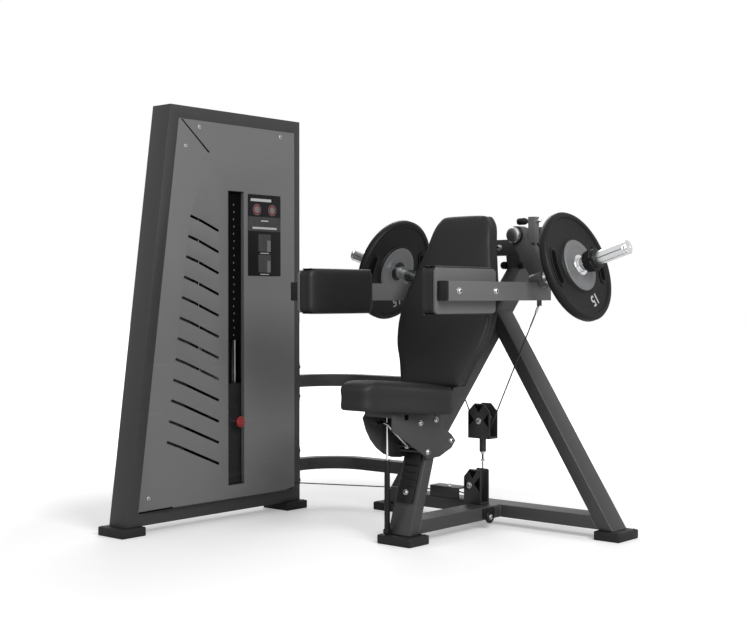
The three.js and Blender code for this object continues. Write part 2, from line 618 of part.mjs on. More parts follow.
// Cables. The run cable goes under the lower wheel, round the floor wheel, under the tower's lower wheel and over its top wheel
function makeCables() {
  const full = Math.PI * 2;
  const lowerRing = wheel.radius + cableOffset;
  const wrap = arc([lowerY, lowerPulley.z - gap], lowerRing, full / 2, (full * 3) / 4, 8);
  const leave = wrap[wrap.length - 1];
  const start = wrap.map(([y, z]) => [housing.x, y, z]);
  const ring = floorPulley.radius + cableOffset;
  const towerRing = towerPulley.radius + cableOffset;
  const [dx, dy] = [floorPulley.x - housing.x, floorPulley.y - leave[0]];
  const arrive = Math.atan2(dy, dx) - Math.asin(ring / Math.hypot(dx, dy));
  const [ex, ey] = [towerPulley.x - floorPulley.x, towerWheelY - floorPulley.y];
  const depart = Math.atan2(ey, ex) + Math.asin(ring / Math.hypot(ex, ey));
  const turn = arc([floorPulley.x, floorPulley.y], ring, arrive - full / 4, depart - full / 4, 4);
  const climb = arc([towerWheelY, towerPulley.z], towerRing, -full / 4, 0, 4);
  const over = arc([topWheelX, topWheelZ], towerPulley.topRadius + cableOffset, 0, full / 2, 14);
  add(
    "run_cable",
    tube(
      [
        ...start,
        ...turn.map(([x, y]) => [x, y, floorPulley.z]),
        ...climb.map(([y, z]) => [towerPulley.x, y, z]),
        ...over.map(([x, z]) => [x, towerMid, z]),
      ],
      cable.radius,
      cable.sides,
    ),
    rubber,
  );
  const dropTop = stem.threadLow - gap;
  add("drop_cable", rod([housing.x, 0, lowerPulley.z], [housing.x, 0, dropTop], cable.radius, cable.sides), rubber);
  const liftLow = liftTop + stack.head + gap;
  add("lift_cable", rod([stackX, towerMid, liftLow], [stackX, towerMid, topWheelZ - gap], cable.radius, cable.sides), rubber);

  const anchorZ = arm.low - anchor.hinge;
  const reach = Math.hypot(anchor.y, anchorZ - floatZ);
  const touch = Math.atan2(anchorZ - floatZ, anchor.y) - Math.acos(lowerRing / reach);
  for (const [name, side] of [["near", -1], ["far", 1]]) {
    const low = [lowerRing * Math.cos(touch), floatZ + lowerRing * Math.sin(touch)];
    const high = [anchor.y, anchorZ];
    const at = (share) => [housing.x, side * (low[0] + (high[0] - low[0]) * share), low[1] + (high[1] - low[1]) * share];
    const half = gap / reach;
    add(name + "_cable_lower", rod(at(0), at(0.5 - half), cable.radius, cable.sides), rubber);
    add(name + "_cable_upper", rod(at(0.5 + half), at(1), cable.radius, cable.sides), rubber);
  }
}

makePulleys();
makeCables();

// Arms. Everything on an arm is made for the near side and mirrored for the far one
function makeArm(name, side) {
  const y = (distance) => side * distance;
  const spread = (a, b) => [Math.min(y(a), y(b)), Math.max(y(a), y(b))];
  const line = [[arm.front, arm.y], [arm.kneeX, arm.y], [arm.innerX, arm.inner], [arm.endX, arm.end]];
  const bar = prism("z", ribbon(line, arm.wide).map(([u, v]) => [u, y(v)]), arm.low, arm.high);
  const [dy, dz] = [link.endY - pivot.y, link.endZ - pivot.z];
  const heading = Math.atan2(dz, dy);
  const quarter = Math.PI / 2;
  const plate = [
    ...arc([link.endY, link.endZ], link.wide, heading - quarter, heading + quarter, 8),
    ...arc([pivot.y, pivot.z], link.wide, heading + quarter, heading + 3 * quarter, 8),
  ].map(([u, v]) => [y(u), v]);
  const barrelRear = crossBeam.front - pivot.plate - gap;
  const normal = [Math.cos(disc.tilt), Math.sin(disc.tilt)];
  const out = (t) => [disc.x, y(disc.y + normal[0] * t), disc.z + normal[1] * t];
  const lugs = spread(pull.lugIn, pull.lugOut);
  const eye = spread(anchor.y - anchor.half, anchor.y + anchor.half);
  const ears = [housing.x - anchor.slit - anchor.ear, housing.x + anchor.slit].map((x) =>
    box(x, x + anchor.ear, ...eye, arm.low - anchor.drop, arm.low + running),
  );
  const body = join(
    bar,
    prism("x", plate, link.front, link.front + link.thick),
    rod([pivot.front, y(pivot.y), pivot.z], [barrelRear, y(pivot.y), pivot.z], pivot.barrel, 20),
    rod(out(-sleeve.socketIn), out(-sleeve.socketOut), sleeve.socket, 20),
    ...ears,
    box(pull.x - pull.lugHalf, pull.x + pull.lugHalf, ...lugs, pull.lugLow, pull.z + pull.lugHalf),
  );
  const axleHole = rod([pivot.front + pivot.cap, y(pivot.y), pivot.z], [barrelRear + overrun, y(pivot.y), pivot.z], pivot.bore);
  const pinHole = rod([pull.x, y(pull.near), pull.z], [pull.x, y(pull.far + pull.knob), pull.z], pull.rod + gap, 12);
  add(name + "_arm_tube", cut(body, axleHole, pinHole), paint);

  const knob = rod([pull.x, y(pull.near), pull.z], [pull.x, y(pull.knobEnd), pull.z], pull.knob);
  const pin = rod([pull.x, y(pull.knobEnd - running), pull.z], [pull.x, y(pull.far), pull.z], pull.rod, 12);
  add(name + "_pull_pin", join(knob, pin), black);

  const plateOuter = arm.y - arm.wide / 2 - gap;
  const backing = roundedBox([padPlate.front, padPlate.low], [padPlate.rear, padPlate.high], padPlate.round);
  const [p0, p1] = spread(plateOuter - padPlate.thick, plateOuter);
  add(name + "_pad_plate", prism("y", backing, p0, p1), paint);
  const padBack = plateOuter - padPlate.thick - gap;
  const outline = roundedBox([armPad.front, armPad.low], [armPad.rear, armPad.high], armPad.round, 6);
  if (side < 0) outline.reverse();
  const thick = padBack - armPad.inner;
  add(name + "_arm_pad", cushion(outline, thick, (u, v, w) => [u, y(padBack - w), v]), vinyl);

  const profile = [
    [disc.bore, -disc.thick],
    [disc.radius - hub.dish, -disc.thick],
    [disc.radius, hub.dish - disc.thick],
    [disc.radius, -hub.dish],
    [disc.radius - hub.dish, 0],
    [disc.radius - hub.dish - hub.rim, 0],
    [disc.radius - 2 * hub.dish - hub.rim, -hub.dish],
    [hub.radius + hub.dish, -hub.dish],
    [hub.radius, hub.proud],
    [disc.bore, hub.proud],
  ].map(([r, t]) => new THREE.Vector2(r, t));
  const turn = new THREE.Quaternion().setFromUnitVectors(
    new THREE.Vector3(0, 1, 0),
    new THREE.Vector3(0, side * normal[0], normal[1]),
  );
  const plateBody = new THREE.LatheGeometry([...profile, profile[0]], 40)
    .applyQuaternion(turn)
    .translate(...out(0));
  add(name + "_disc", plateBody, rubber);
  add(name + "_sleeve", rod(out(gap - sleeve.socketOut), out(sleeve.beyond), sleeve.radius, 20), chrome);
  const ring = cut(
    rod(out(collar.start), out(collar.end), collar.radius, 24),
    rod(out(collar.start - overrun), out(collar.end + overrun), disc.bore, 20),
  );
  add(name + "_collar", ring, black);
}

makeArm("near", -1);
makeArm("far", 1);

// Seat pad, on a carriage that slides down the post
const seatOutlineShares = [[0, 0.55], [0.02, 0.85], [0.07, 1.05], [0.2, 1.22], [0.4, 1.6], [0.6, 2.05], [0.78, 2.36], [0.92, 2.42], [0.98, 2.3], [1, 1.95]];
const backHalfWidthShares = [[0, 0.55], [0.012, 0.64], [0.04, 0.68], [0.14, 0.79], [0.23, 0.92], [0.33, 0.99], [0.42, 1], [0.52, 0.98], [0.64, 0.86], [0.72, 0.79], [0.82, 0.7], [0.93, 0.62], [0.98, 0.52], [1, 0.4]];
const backHalf = 205;
const outlinePoints = 44;
const seatLow = (x) => seat.noseZ - (x - seat.nose) * Math.tan(seat.slope);

function mirrored(pairs) {
  return [...pairs, ...pairs.slice().reverse().map(([u, v]) => [u, -v])];
}

// A closed outline rounded through its points.
function smooth(pairs) {
  const curve = new THREE.CatmullRomCurve3(pairs.map(([u, v]) => new THREE.Vector3(u, v, 0)), true, "centripetal");
  return curve.getSpacedPoints(outlinePoints).slice(1).map((p) => [p.x, p.y]);
}

function makeCushions() {
  const long = seat.rear - seat.nose;
  const outline = mirrored(
    seatOutlineShares.map(([share, half]) => [seat.nose + long * share, -half * seat.noseHalf]),
  );
  const seatPad = cushion(smooth(outline), seat.thick, (u, v, w) => [u, v, seatLow(u) + w]);
  add("seat_pad", seatPad, vinyl);

  const tall = back.high - back.low;
  const shape = mirrored(backHalfWidthShares.map(([share, half]) => [back.low + tall * share, half * backHalf]));
  const backPad = cushion(smooth(shape).reverse(), back.thick, (z, y, w) => {
    const [x] = atPost(back.rear - w, z);
    return [x, y, z];
  });
  add("back_pad", backPad, vinyl);
}

const latchX = atPost(latch.p, latch.z)[0];

function makeCarriage() {
  const { inner, outer, frontX, topZ, rearTopX, rearTopZ } = sidePlate;
  const [lobeX, lobeZ] = [spineLow(spine.heelZ), spine.heelZ];
  const edge = stock.thick / 2;
  const near = [
    [frontX, topZ],
    [rearTopX, rearTopZ],
    [rearTopX, lobeZ + 2 * edge],
    [lobeX, lobeZ + edge],
    [lobeX + edge, lobeZ],
    [lobeX, lobeZ - edge],
    [latch.rearX, latch.rearZ - 2 * sidePlate.bar],
    [latchX, latch.z - edge],
    [latchX - edge / 2, latch.z - edge / 2],
    [frontX, topZ - stock.thick],
  ];
  const far = [
    [frontX, topZ],
    [rearTopX, rearTopZ],
    [latch.rearX + edge, latch.rearZ],
    [latch.rearX, latch.rearZ - 2 * sidePlate.bar],
    ...arc([farPlate.x, farPlate.z], farPlate.radius, -Math.PI / 2, -0.92 * Math.PI, 6),
  ];
  const drop = (rearTopZ - topZ) / (rearTopX - frontX);
  const lidRear = atPost(latch.p, rearTopZ)[0];
  const lidZ = (x) => topZ + (x - frontX) * drop;
  const lid = [
    [frontX, topZ],
    [lidRear, lidZ(lidRear)],
    [lidRear, lidZ(lidRear) - sidePlate.top],
    [frontX, topZ - sidePlate.top],
  ];
  const pan = [
    [frontX, topZ - running],
    [frontX, seatLow(frontX) - gap],
    [lidRear, seatLow(lidRear) - gap],
    [lidRear, lidZ(lidRear) - running],
  ];
  add(
    "seat_carriage",
    join(
      prism("y", near, -outer, -inner),
      prism("y", far, inner, outer),
      prism("y", lid, -outer, outer),
      rod([latchX, -outer, latch.z], [latchX, outer, latch.z], sidePlate.bar, 12),
      rod([latch.rearX, -outer, latch.rearZ], [latch.rearX, outer, latch.rearZ], sidePlate.bar, 12),
      prism("y", pan, -outer, outer),
      rod([lever.x, -outer, lever.z], [lever.x, outer, lever.z], lever.pin, 12),
    ),
    paint,
  );
  const foot = [gas.x, gas.y, gas.z];
  add(
    "gas_cylinder",
    cut(
      join(
        rod([gas.x, gas.y - gas.eyeHalf, gas.z], [gas.x, gas.y + gas.eyeHalf, gas.z], gas.eye),
        rod(foot, [gas.x, gas.y, gas.top], gas.radius),
      ),
      rod([gas.x, gas.y, gas.top - gas.deep], [gas.x, gas.y, gas.top + overrun], gas.bore, 12),
    ),
    black,
  );
  add("gas_rod", rod([gas.x, gas.y, gas.top - gas.in], [gas.x, gas.y, gas.end], gas.rod, 12), chrome);
  const bend = [[lever.x, lever.z], ...leverPath];
  const grip = bend[bend.length - 1];
  const eye = (half, radius) => rod([lever.x, lever.y - half, lever.z], [lever.x, lever.y + half, lever.z], radius, 16);
  add(
    "release_lever",
    cut(
      join(
        tube(bend.map(([x, z]) => [x, lever.y, z]), lever.radius, 10),
        rod([grip[0] - lever.knobLong, lever.y, grip[1] - lever.radius], [grip[0], lever.y, grip[1]], lever.knob, 12),
        eye(lever.eyeHalf, lever.eye),
      ),
      eye(lever.eyeHalf + overrun, lever.pin + gap),
    ),
    chrome,
  );
}

makeCushions();
makeCarriage();

export default machine;
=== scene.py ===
"""Lateral raise machine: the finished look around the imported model."""

import json
import math

import bmesh
import bpy
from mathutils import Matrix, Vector

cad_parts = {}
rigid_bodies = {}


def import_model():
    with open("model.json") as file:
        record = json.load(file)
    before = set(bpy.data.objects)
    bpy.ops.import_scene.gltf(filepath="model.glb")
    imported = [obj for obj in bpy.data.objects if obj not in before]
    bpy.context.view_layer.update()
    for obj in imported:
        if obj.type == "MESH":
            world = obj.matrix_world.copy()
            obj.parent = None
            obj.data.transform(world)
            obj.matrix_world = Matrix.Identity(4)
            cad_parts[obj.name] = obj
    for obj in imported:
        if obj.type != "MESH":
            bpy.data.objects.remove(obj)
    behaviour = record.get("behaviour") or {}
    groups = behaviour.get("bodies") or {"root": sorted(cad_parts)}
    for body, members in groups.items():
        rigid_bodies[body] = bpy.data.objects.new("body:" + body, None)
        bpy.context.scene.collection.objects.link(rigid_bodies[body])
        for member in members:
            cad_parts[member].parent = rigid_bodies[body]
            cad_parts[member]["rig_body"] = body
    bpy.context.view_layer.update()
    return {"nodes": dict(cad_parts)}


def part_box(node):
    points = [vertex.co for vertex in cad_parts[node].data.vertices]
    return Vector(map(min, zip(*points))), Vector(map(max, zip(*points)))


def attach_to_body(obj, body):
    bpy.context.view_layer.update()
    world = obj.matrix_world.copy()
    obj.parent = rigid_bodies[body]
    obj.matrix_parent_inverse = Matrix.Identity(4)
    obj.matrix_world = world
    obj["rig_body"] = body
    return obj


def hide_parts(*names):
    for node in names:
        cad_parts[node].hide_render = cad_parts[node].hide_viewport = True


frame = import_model()
NODES = frame["nodes"]
MM = 0.001
X_AXIS, Y_AXIS, Z_AXIS = Vector((1, 0, 0)), Vector((0, 1, 0)), Vector((0, 0, 1))
SIDES = (("near", -1), ("far", 1))


def in_scene(name, data):
    thing = bpy.data.objects.new(name, data)
    bpy.context.scene.collection.objects.link(thing)
    return thing


# The camera stands where the photograph was taken from
EYE = Vector((-3.5, -2.917, 0.861))
LOOK_ACROSS = (0.7566, 0.6538)
LOOK_DOWN = math.radians(0.94)
FOCAL_PIXELS, PHOTO_WIDTH = 1310, 746
SENSOR = 36


def make_camera():
    camera = in_scene("camera", bpy.data.cameras.new("camera"))
    camera.data.sensor_width = SENSOR
    camera.data.lens = SENSOR * FOCAL_PIXELS / PHOTO_WIDTH
    camera.location = EYE
    level = math.cos(LOOK_DOWN)
    way = Vector((LOOK_ACROSS[0] * level, LOOK_ACROSS[1] * level, -math.sin(LOOK_DOWN)))
    camera.rotation_euler = way.to_track_quat("-Z", "Y").to_euler()
    bpy.context.scene.camera = camera


make_camera()

# Shader building
CLOUD_DETAIL, GRAIN_DETAIL = 5.0, 3.0
GLOSS_SHARE = 0.18
RUB_STRETCH, RUB_TURN = (1.0, 1.0, 7.0), (0.5, 0.3, 0.2)
RUB_DETAIL, RUB_BAND = 8.0, (0.62, 0.72)
RUB_GAIN_SHARE, RUB_LIFT = 2.2, 0.03
WHITE = (1, 1, 1, 1)


def plug(tree, node, values):
    """Fills a node's inputs: links the output of another node, or types a value."""
    for key, value in values.items():
        if isinstance(value, bpy.types.NodeSocket):
            tree.links.new(value, node.inputs[key])
        else:
            node.inputs[key].default_value = value


def new_node(tree, kind, values=None, **settings):
    node = tree.nodes.new(kind)
    for key, value in settings.items():
        setattr(node, key, value)
    plug(tree, node, values or {})
    return node


def calculate(tree, operation, *values):
    return new_node(tree, "ShaderNodeMath", dict(enumerate(values)), operation=operation).outputs[0]


def spread(tree, value, band, result):
    """Maps a band of values to another range, and stops at its ends."""
    ends = dict(zip(("From Min", "From Max", "To Min", "To Max"), (*band, *result)))
    return new_node(tree, "ShaderNodeMapRange", {"Value": value, **ends}).outputs["Result"]


def group_with(name, inputs, outputs):
    group = bpy.data.node_groups.new(name, "ShaderNodeTree")
    for label, kind, value in inputs:
        socket = group.interface.new_socket(label, in_out="INPUT", socket_type=kind)
        socket.default_value = value
    for label, kind in outputs:
        group.interface.new_socket(label, in_out="OUTPUT", socket_type=kind)
    return group, group.nodes.new("NodeGroupInput"), group.nodes.new("NodeGroupOutput")


def make_coat_group():
    """Fine grain over a cloudy tone: puts out a colour, a roughness and a height."""
    inputs = [
        ("Base", "NodeSocketColor", (0.5, 0.5, 0.5, 1)),
        ("Tone", "NodeSocketFloat", 0.1),
        ("Roughness", "NodeSocketFloat", 0.5),
        ("Cloud Scale", "NodeSocketFloat", 4.0),
        ("Grain Scale", "NodeSocketFloat", 900.0),
    ]
    outputs = [("Color", "NodeSocketColor"), ("Roughness", "NodeSocketFloat"), ("Height", "NodeSocketFloat")]
    group, given, out = group_with("coat_grain", inputs, outputs)
    place = new_node(group, "ShaderNodeTexCoord").outputs["Object"]
    given = given.outputs

    def pattern(scale, detail):
        values = {"Vector": place, "Scale": given[scale], "Detail": detail}
        return new_node(group, "ShaderNodeTexNoise", values).outputs["Fac"]

    grain = pattern("Grain Scale", GRAIN_DETAIL)
    both = calculate(group, "ADD", pattern("Cloud Scale", CLOUD_DETAIL), grain)
    centred = calculate(group, "SUBTRACT", both, 1.0)
    toned = calculate(group, "MULTIPLY_ADD", centred, given["Tone"], 1.0)
    tint = new_node(group, "ShaderNodeVectorMath", {0: given["Base"], "Scale": toned}, operation="SCALE")
    gloss = calculate(group, "MULTIPLY_ADD", centred, GLOSS_SHARE, given["Roughness"])
    plug(group, out, {"Color": tint.outputs[0], "Roughness": gloss, "Height": grain})
    return group


def make_rub_group():
    """Sparse thin rubs, squeezed along the height and tilted: puts out a mask from 0 to 1."""
    inputs = [("Scale", "NodeSocketFloat", 6.0), ("Amount", "NodeSocketFloat", 0.3)]
    group, given, out = group_with("rub_marks", inputs, [("Mask", "NodeSocketFloat")])
    place = new_node(group, "ShaderNodeTexCoord").outputs["Object"]
    values = {"Vector": place, "Scale": RUB_STRETCH, "Rotation": RUB_TURN}
    stretched = new_node(group, "ShaderNodeMapping", values).outputs[0]
    values = {"Vector": stretched, "Scale": given.outputs["Scale"], "Detail": RUB_DETAIL}
    lines = new_node(group, "ShaderNodeTexNoise", values).outputs["Fac"]
    sharp = spread(group, lines, RUB_BAND, (0.0, 1.0))
    plug(group, out, {"Mask": calculate(group, "MULTIPLY", sharp, given.outputs["Amount"])})
    return group


COAT = make_coat_group()
RUBS = make_rub_group()


def finish(
    name, color, roughness, metallic=0.0, tone=0.12, cloud=4.0, grain=900.0,
    bump=0.1, depth=0.0002, rubs=0.0, coat=0.0, shine=0.5,
):
    """One material. Cloud and grain are pattern scales, tone is how much they change the colour."""
    material = bpy.data.materials.new(name)
    material.use_nodes = True
    tree = material.node_tree
    values = {
        "Base": (*color, 1),
        "Tone": tone,
        "Roughness": roughness,
        "Cloud Scale": cloud,
        "Grain Scale": grain,
    }
    group = new_node(tree, "ShaderNodeGroup", values, node_tree=COAT).outputs
    color_out = group["Color"]
    if rubs:
        marks = new_node(tree, "ShaderNodeGroup", {"Amount": rubs}, node_tree=RUBS)
        rubbed = [min(1.0, c * RUB_GAIN_SHARE + RUB_LIFT) for c in color]
        values = {"Factor": marks.outputs["Mask"], "A": color_out, "B": (*rubbed, 1)}
        color_out = new_node(tree, "ShaderNodeMix", values, data_type="RGBA").outputs["Result"]
    values = {"Strength": bump, "Distance": depth, "Height": group["Height"]}
    raised = new_node(tree, "ShaderNodeBump", values)
    plug(tree, tree.nodes["Principled BSDF"], {
        "Base Color": color_out,
        "Roughness": group["Roughness"],
        "Normal": raised.outputs["Normal"],
        "Metallic": metallic,
        "Coat Weight": coat,
        "Specular IOR Level": shine,
    })
    return material


# Paints
POWDER = {"grain": 700, "bump": 0.35}
FRAME_PAINT = finish("charcoal_powder_coat", (0.035, 0.035, 0.037), 0.45, tone=0.2, rubs=0.1, **POWDER)
TOWER_PAINT = finish("tower_powder_coat", (0.026, 0.026, 0.027), 0.45, tone=0.2, rubs=0.08, **POWDER)
ARM_PAINT = finish("arm_powder_coat", (0.098, 0.098, 0.100), 0.45, tone=0.15, rubs=0.06, **POWDER)
GUARD_PAINT = finish(
    "guard_satin_grey", (0.128, 0.129, 0.131), 0.42,
    cloud=2.5, grain=800, bump=0.25, rubs=0.05,
)
IRON = finish(
    "stack_plate_paint", (0.010, 0.010, 0.011), 0.5,
    tone=0.3, cloud=8, grain=350, bump=0.5, depth=0.0005, rubs=0.35, shine=0.3,
)
RED = finish("red_knob_gloss", (0.20, 0.010, 0.012), 0.3, tone=0.1, bump=0.05, coat=0.3)

# Rubber, plastic and vinyl
FOOT_RUBBER = finish(
    "foot_block_rubber", (0.012, 0.012, 0.012), 0.6,
    tone=0.35, grain=400, bump=0.4, depth=0.0005, rubs=0.2, shine=0.3,
)
DISC_RUBBER = finish(
    "disc_rubber_coat", (0.006, 0.006, 0.006), 0.5,
    tone=0.3, cloud=9, grain=500, bump=0.5, depth=0.0004, rubs=0.2, shine=0.22,
)
MOULDED = finish(
    "black_moulded_plastic", (0.006, 0.006, 0.006), 0.45,
    tone=0.25, grain=1100, bump=0.3, rubs=0.1, shine=0.3,
)
HOUSING = finish("pulley_housing_black", (0.016, 0.016, 0.017), 0.4, tone=0.25, bump=0.3, rubs=0.1)
CABLE_COAT = finish("cable_sheath", (0.010, 0.010, 0.010), 0.35, tone=0.2, grain=1500, bump=0.2)
VINYL = finish(
    "pad_vinyl", (0.0085, 0.0085, 0.009), 0.5,
    tone=0.25, cloud=7, grain=420, bump=0.7, depth=0.0006, shine=0.36,
)

# Bare and cast metal
CHROME = finish(
    "chrome_plate", (0.86, 0.87, 0.88), 0.14,
    metallic=1.0, tone=0.06, cloud=12, grain=600, bump=0.04, rubs=0.1,
)
STEEL = finish("zinc_steel", (0.60, 0.60, 0.61), 0.3, metallic=1.0, tone=0.15, cloud=20, grain=800)
HUB_GREY = finish(
    "hub_cast_grey", (0.16, 0.162, 0.166), 0.45,
    metallic=0.3, tone=0.15, cloud=12, grain=500, bump=0.4,
)

# Placard, number, and near-black for the painted shade of dark hollows
MARKING = finish("marking_grey", (0.42, 0.42, 0.42), 0.5, tone=0.1, bump=0.05)
PLACARD = finish("placard_dark", (0.006, 0.006, 0.007), 0.5, tone=0.1, cloud=10, bump=0.05, shine=0.15)
PLACARD_TINT = finish("placard_tint", (0.05, 0.05, 0.052), 0.5, tone=0.6, cloud=60, bump=0.05, shine=0.15)
MUTED_RED = finish("placard_red", (0.16, 0.02, 0.02), 0.5, tone=0.15, bump=0.05, shine=0.15)
# Near-black for dark sheets and patches that are painted shade in sockets, pockets, openings, gaps and the
# slot
SHADE_BLACK = finish("painted_shade_black", (0.002, 0.002, 0.002), 0.8, tone=0.2, shine=0.05)


# Profiles, outlines and sizes are in mm, and places and directions are vectors in metres
def mm(*numbers):
    return Vector([n * MM for n in numbers])


def rectangle(low, high):
    return [low, (high[0], low[1]), high, (low[0], high[1])]


def middle_of(node):
    low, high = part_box(node)
    return (low + high) / 2


def on_plane(origin, across, up, out):
    """Says where a flat outline's points go: u across, v up and w out of the plane."""
    return lambda u, v, w: origin + (across * u + up * v + out * w) * MM


def on_front(y):
    """A plane across the machine at a depth, facing the front."""
    return on_plane(mm(0, y, 0), X_AXIS, Z_AXIS, -Y_AXIS)


def across_from(axis):
    """Two directions square to an axis and to each other."""
    axis = axis.normalized()
    side = Z_AXIS if abs(axis.z) < 0.9 else X_AXIS
    first = axis.cross(side).normalized()
    return first, axis.cross(first)


# Mesh building
ROUND, DISC_ROUND, HUB_ROUND, SMALL_ROUND, ROD_ROUND, ROPE_ROUND, HEX = 64, 128, 96, 40, 32, 16, 6
SMOOTH_ANGLE, SOFT_ANGLE, TUBE_ANGLE, BOLT_ANGLE, HEX_ANGLE = 35, 80, 60, 40, 20
MERGE, CAD_MERGE, POLE = 1e-6, 1e-5, 1e-7
CAD_FLAT = math.radians(0.5)
BEVEL_ANGLE = math.radians(30)


def attach(piece, body, *replaced, slot=None):
    """Rides on a body. The slot argument is not used."""
    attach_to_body(piece, body)
    if replaced:
        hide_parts(*replaced)


def shade(mesh, angle=SMOOTH_ANGLE):
    mesh.shade_smooth()
    mesh.set_sharp_from_angle(angle=math.radians(angle))


def mesh_object(name, verts, faces, material, smooth_angle=SMOOTH_ANGLE):
    mesh = bpy.data.meshes.new(name)
    mesh.from_pydata([tuple(v) for v in verts], [], faces)
    shape = bmesh.new()
    shape.from_mesh(mesh)
    bmesh.ops.remove_doubles(shape, verts=shape.verts, dist=MERGE)
    bmesh.ops.recalc_face_normals(shape, faces=shape.faces)
    shape.to_mesh(mesh)
    shape.free()
    mesh.materials.append(material)
    shade(mesh, smooth_angle)
    return in_scene(name, mesh)


def bake(piece):
    """Turns the piece's modifiers into its plain mesh."""
    graph = bpy.context.evaluated_depsgraph_get()
    mesh = bpy.data.meshes.new_from_object(piece.evaluated_get(graph))
    piece.modifiers.clear()
    piece.data = mesh


def bevel(piece, width, segments):
    modifier = piece.modifiers.new("bevel", "BEVEL")
    modifier.width = width * MM
    modifier.segments = segments
    modifier.limit_method = "ANGLE"
    modifier.angle_limit = BEVEL_ANGLE
    bake(piece)
    shade(piece.data)


def rounded(node, material, width, segments):
    """A copy of a CAD node with its edges rounded, which stands for it."""
    source = NODES[node]
    shape = bmesh.new()
    shape.from_mesh(source.data)
    bmesh.ops.remove_doubles(shape, verts=shape.verts, dist=CAD_MERGE)
    bmesh.ops.dissolve_limit(shape, angle_limit=CAD_FLAT, verts=shape.verts, edges=shape.edges)
    mesh = bpy.data.meshes.new(node + "_body")
    shape.to_mesh(mesh)
    shape.free()
    mesh.materials.clear()
    mesh.materials.append(material)
    piece = in_scene(node + "_body", mesh)
    bevel(piece, width, segments)
    attach(piece, source["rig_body"], node)


def ring_of_faces(lower, upper, count):
    """Faces between two rings of points, from each ring's first point."""
    steps = [(k, (k + 1) % count) for k in range(count)]
    return [(lower + k, lower + n, upper + n, upper + k) for k, n in steps]


def lathe(name, profile, origin, axis, material, segments=ROUND, angle=SMOOTH_ANGLE):
    """A closed turned shape. The profile is (radius, distance along the axis)."""
    axis = axis.normalized()
    first, second = across_from(axis)
    verts, faces = [], []
    for radius, along in profile:
        for k in range(segments):
            turn = 2 * math.pi * k / segments
            reach = first * (math.cos(turn) * radius) + second * (math.sin(turn) * radius)
            verts.append(origin + (axis * along + reach) * MM)
    count = len(profile)
    for i in range(count):
        j = (i + 1) % count
        at_pole, to_pole = profile[i][0] < POLE, profile[j][0] < POLE
        if at_pole and to_pole:
            continue
        for a, b, c, d in ring_of_faces(i * segments, j * segments, segments):
            if at_pole:
                faces.append((a, c, d))
            elif to_pole:
                faces.append((a, b, c))
            else:
                faces.append((a, b, c, d))
    return mesh_object(name, verts, faces, material, angle)


def turned_rod(name, start, end, radius, material, soft=0.8, segments=ROD_ROUND):
    """A round rod whose ends are softened."""
    length = (end - start).length / MM
    half = [(0, 0), (radius - soft, 0), (radius, soft)]
    profile = half + [(r, length - along) for r, along in reversed(half)]
    return lathe(name, profile, start, end - start, material, segments)


def tube(name, points, radius, material, sides=ROPE_ROUND):
    """A round tube through points, with closed ends."""
    verts, faces = [], []
    first = None
    for i, point in enumerate(points):
        along = (points[min(i + 1, len(points) - 1)] - points[max(i - 1, 0)]).normalized()
        if first is None:
            first, _ = across_from(along)
        first = (first - along * first.dot(along)).normalized()
        second = along.cross(first)
        for k in range(sides):
            turn = 2 * math.pi * k / sides
            reach = first * (math.cos(turn) * radius) + second * (math.sin(turn) * radius)
            verts.append(point + reach * MM)
    for i in range(len(points) - 1):
        faces += ring_of_faces(i * sides, (i + 1) * sides, sides)
    faces.append(tuple(range(sides)))
    faces.append(tuple(range((len(points) - 1) * sides, len(points) * sides)))
    return mesh_object(name, verts, faces, material, TUBE_ANGLE)


def slab(name, points, thick, place, material, edge=0.0):
    """A flat outline given a thickness; place(u, v, w) says where its points go."""
    count = len(points)
    verts = [place(u, v, 0) for u, v in points] + [place(u, v, thick) for u, v in points]
    faces = [tuple(range(count)), tuple(range(count, 2 * count))]
    faces += ring_of_faces(0, count, count)
    piece = mesh_object(name, verts, faces, material)
    if edge:
        bevel(piece, edge, 2)
    return piece


def rounded_outline(low, high, radius, steps):
    """A rectangle whose corners are arcs."""
    corners = ((high, high, 0), (low, high, 1), (low, low, 2), (high, low, 3))
    points = []
    for u_from, v_from, quarter in corners:
        u = u_from[0] + (-radius if u_from is high else radius)
        v = v_from[1] + (-radius if v_from is high else radius)
        for i in range(steps + 1):
            turn = (quarter + i / steps) * math.pi / 2
            points.append((u + radius * math.cos(turn), v + radius * math.sin(turn)))
    return points


# Bolt heads, set out by geometry nodes on the points of a carrier mesh
BOLT_SIDES = 28
BOLT_SHARES = {
    "washer_foot": 1.35, "washer_top": 1.3, "washer_rise": 0.25,
    "dome_top": 0.72, "socket": 0.42, "socket_rise": 0.06,
}
# Radius and height in mm, and the dome's share of the height
BOLT_SIZES = {
    "foot": (4, 1.6, 0.3), "arm": (9, 6, 0.45), "link": (12, 8, 0.3), "pulley": (9, 5, 0.3),
    "flange": (9, 6, 0.3), "carriage": (8, 5, 0.4), "lug": (8, 4, 0.4), "beam": (10, 7, 0.3),
    "guard": (7.5, 2.5, 0.9),
}


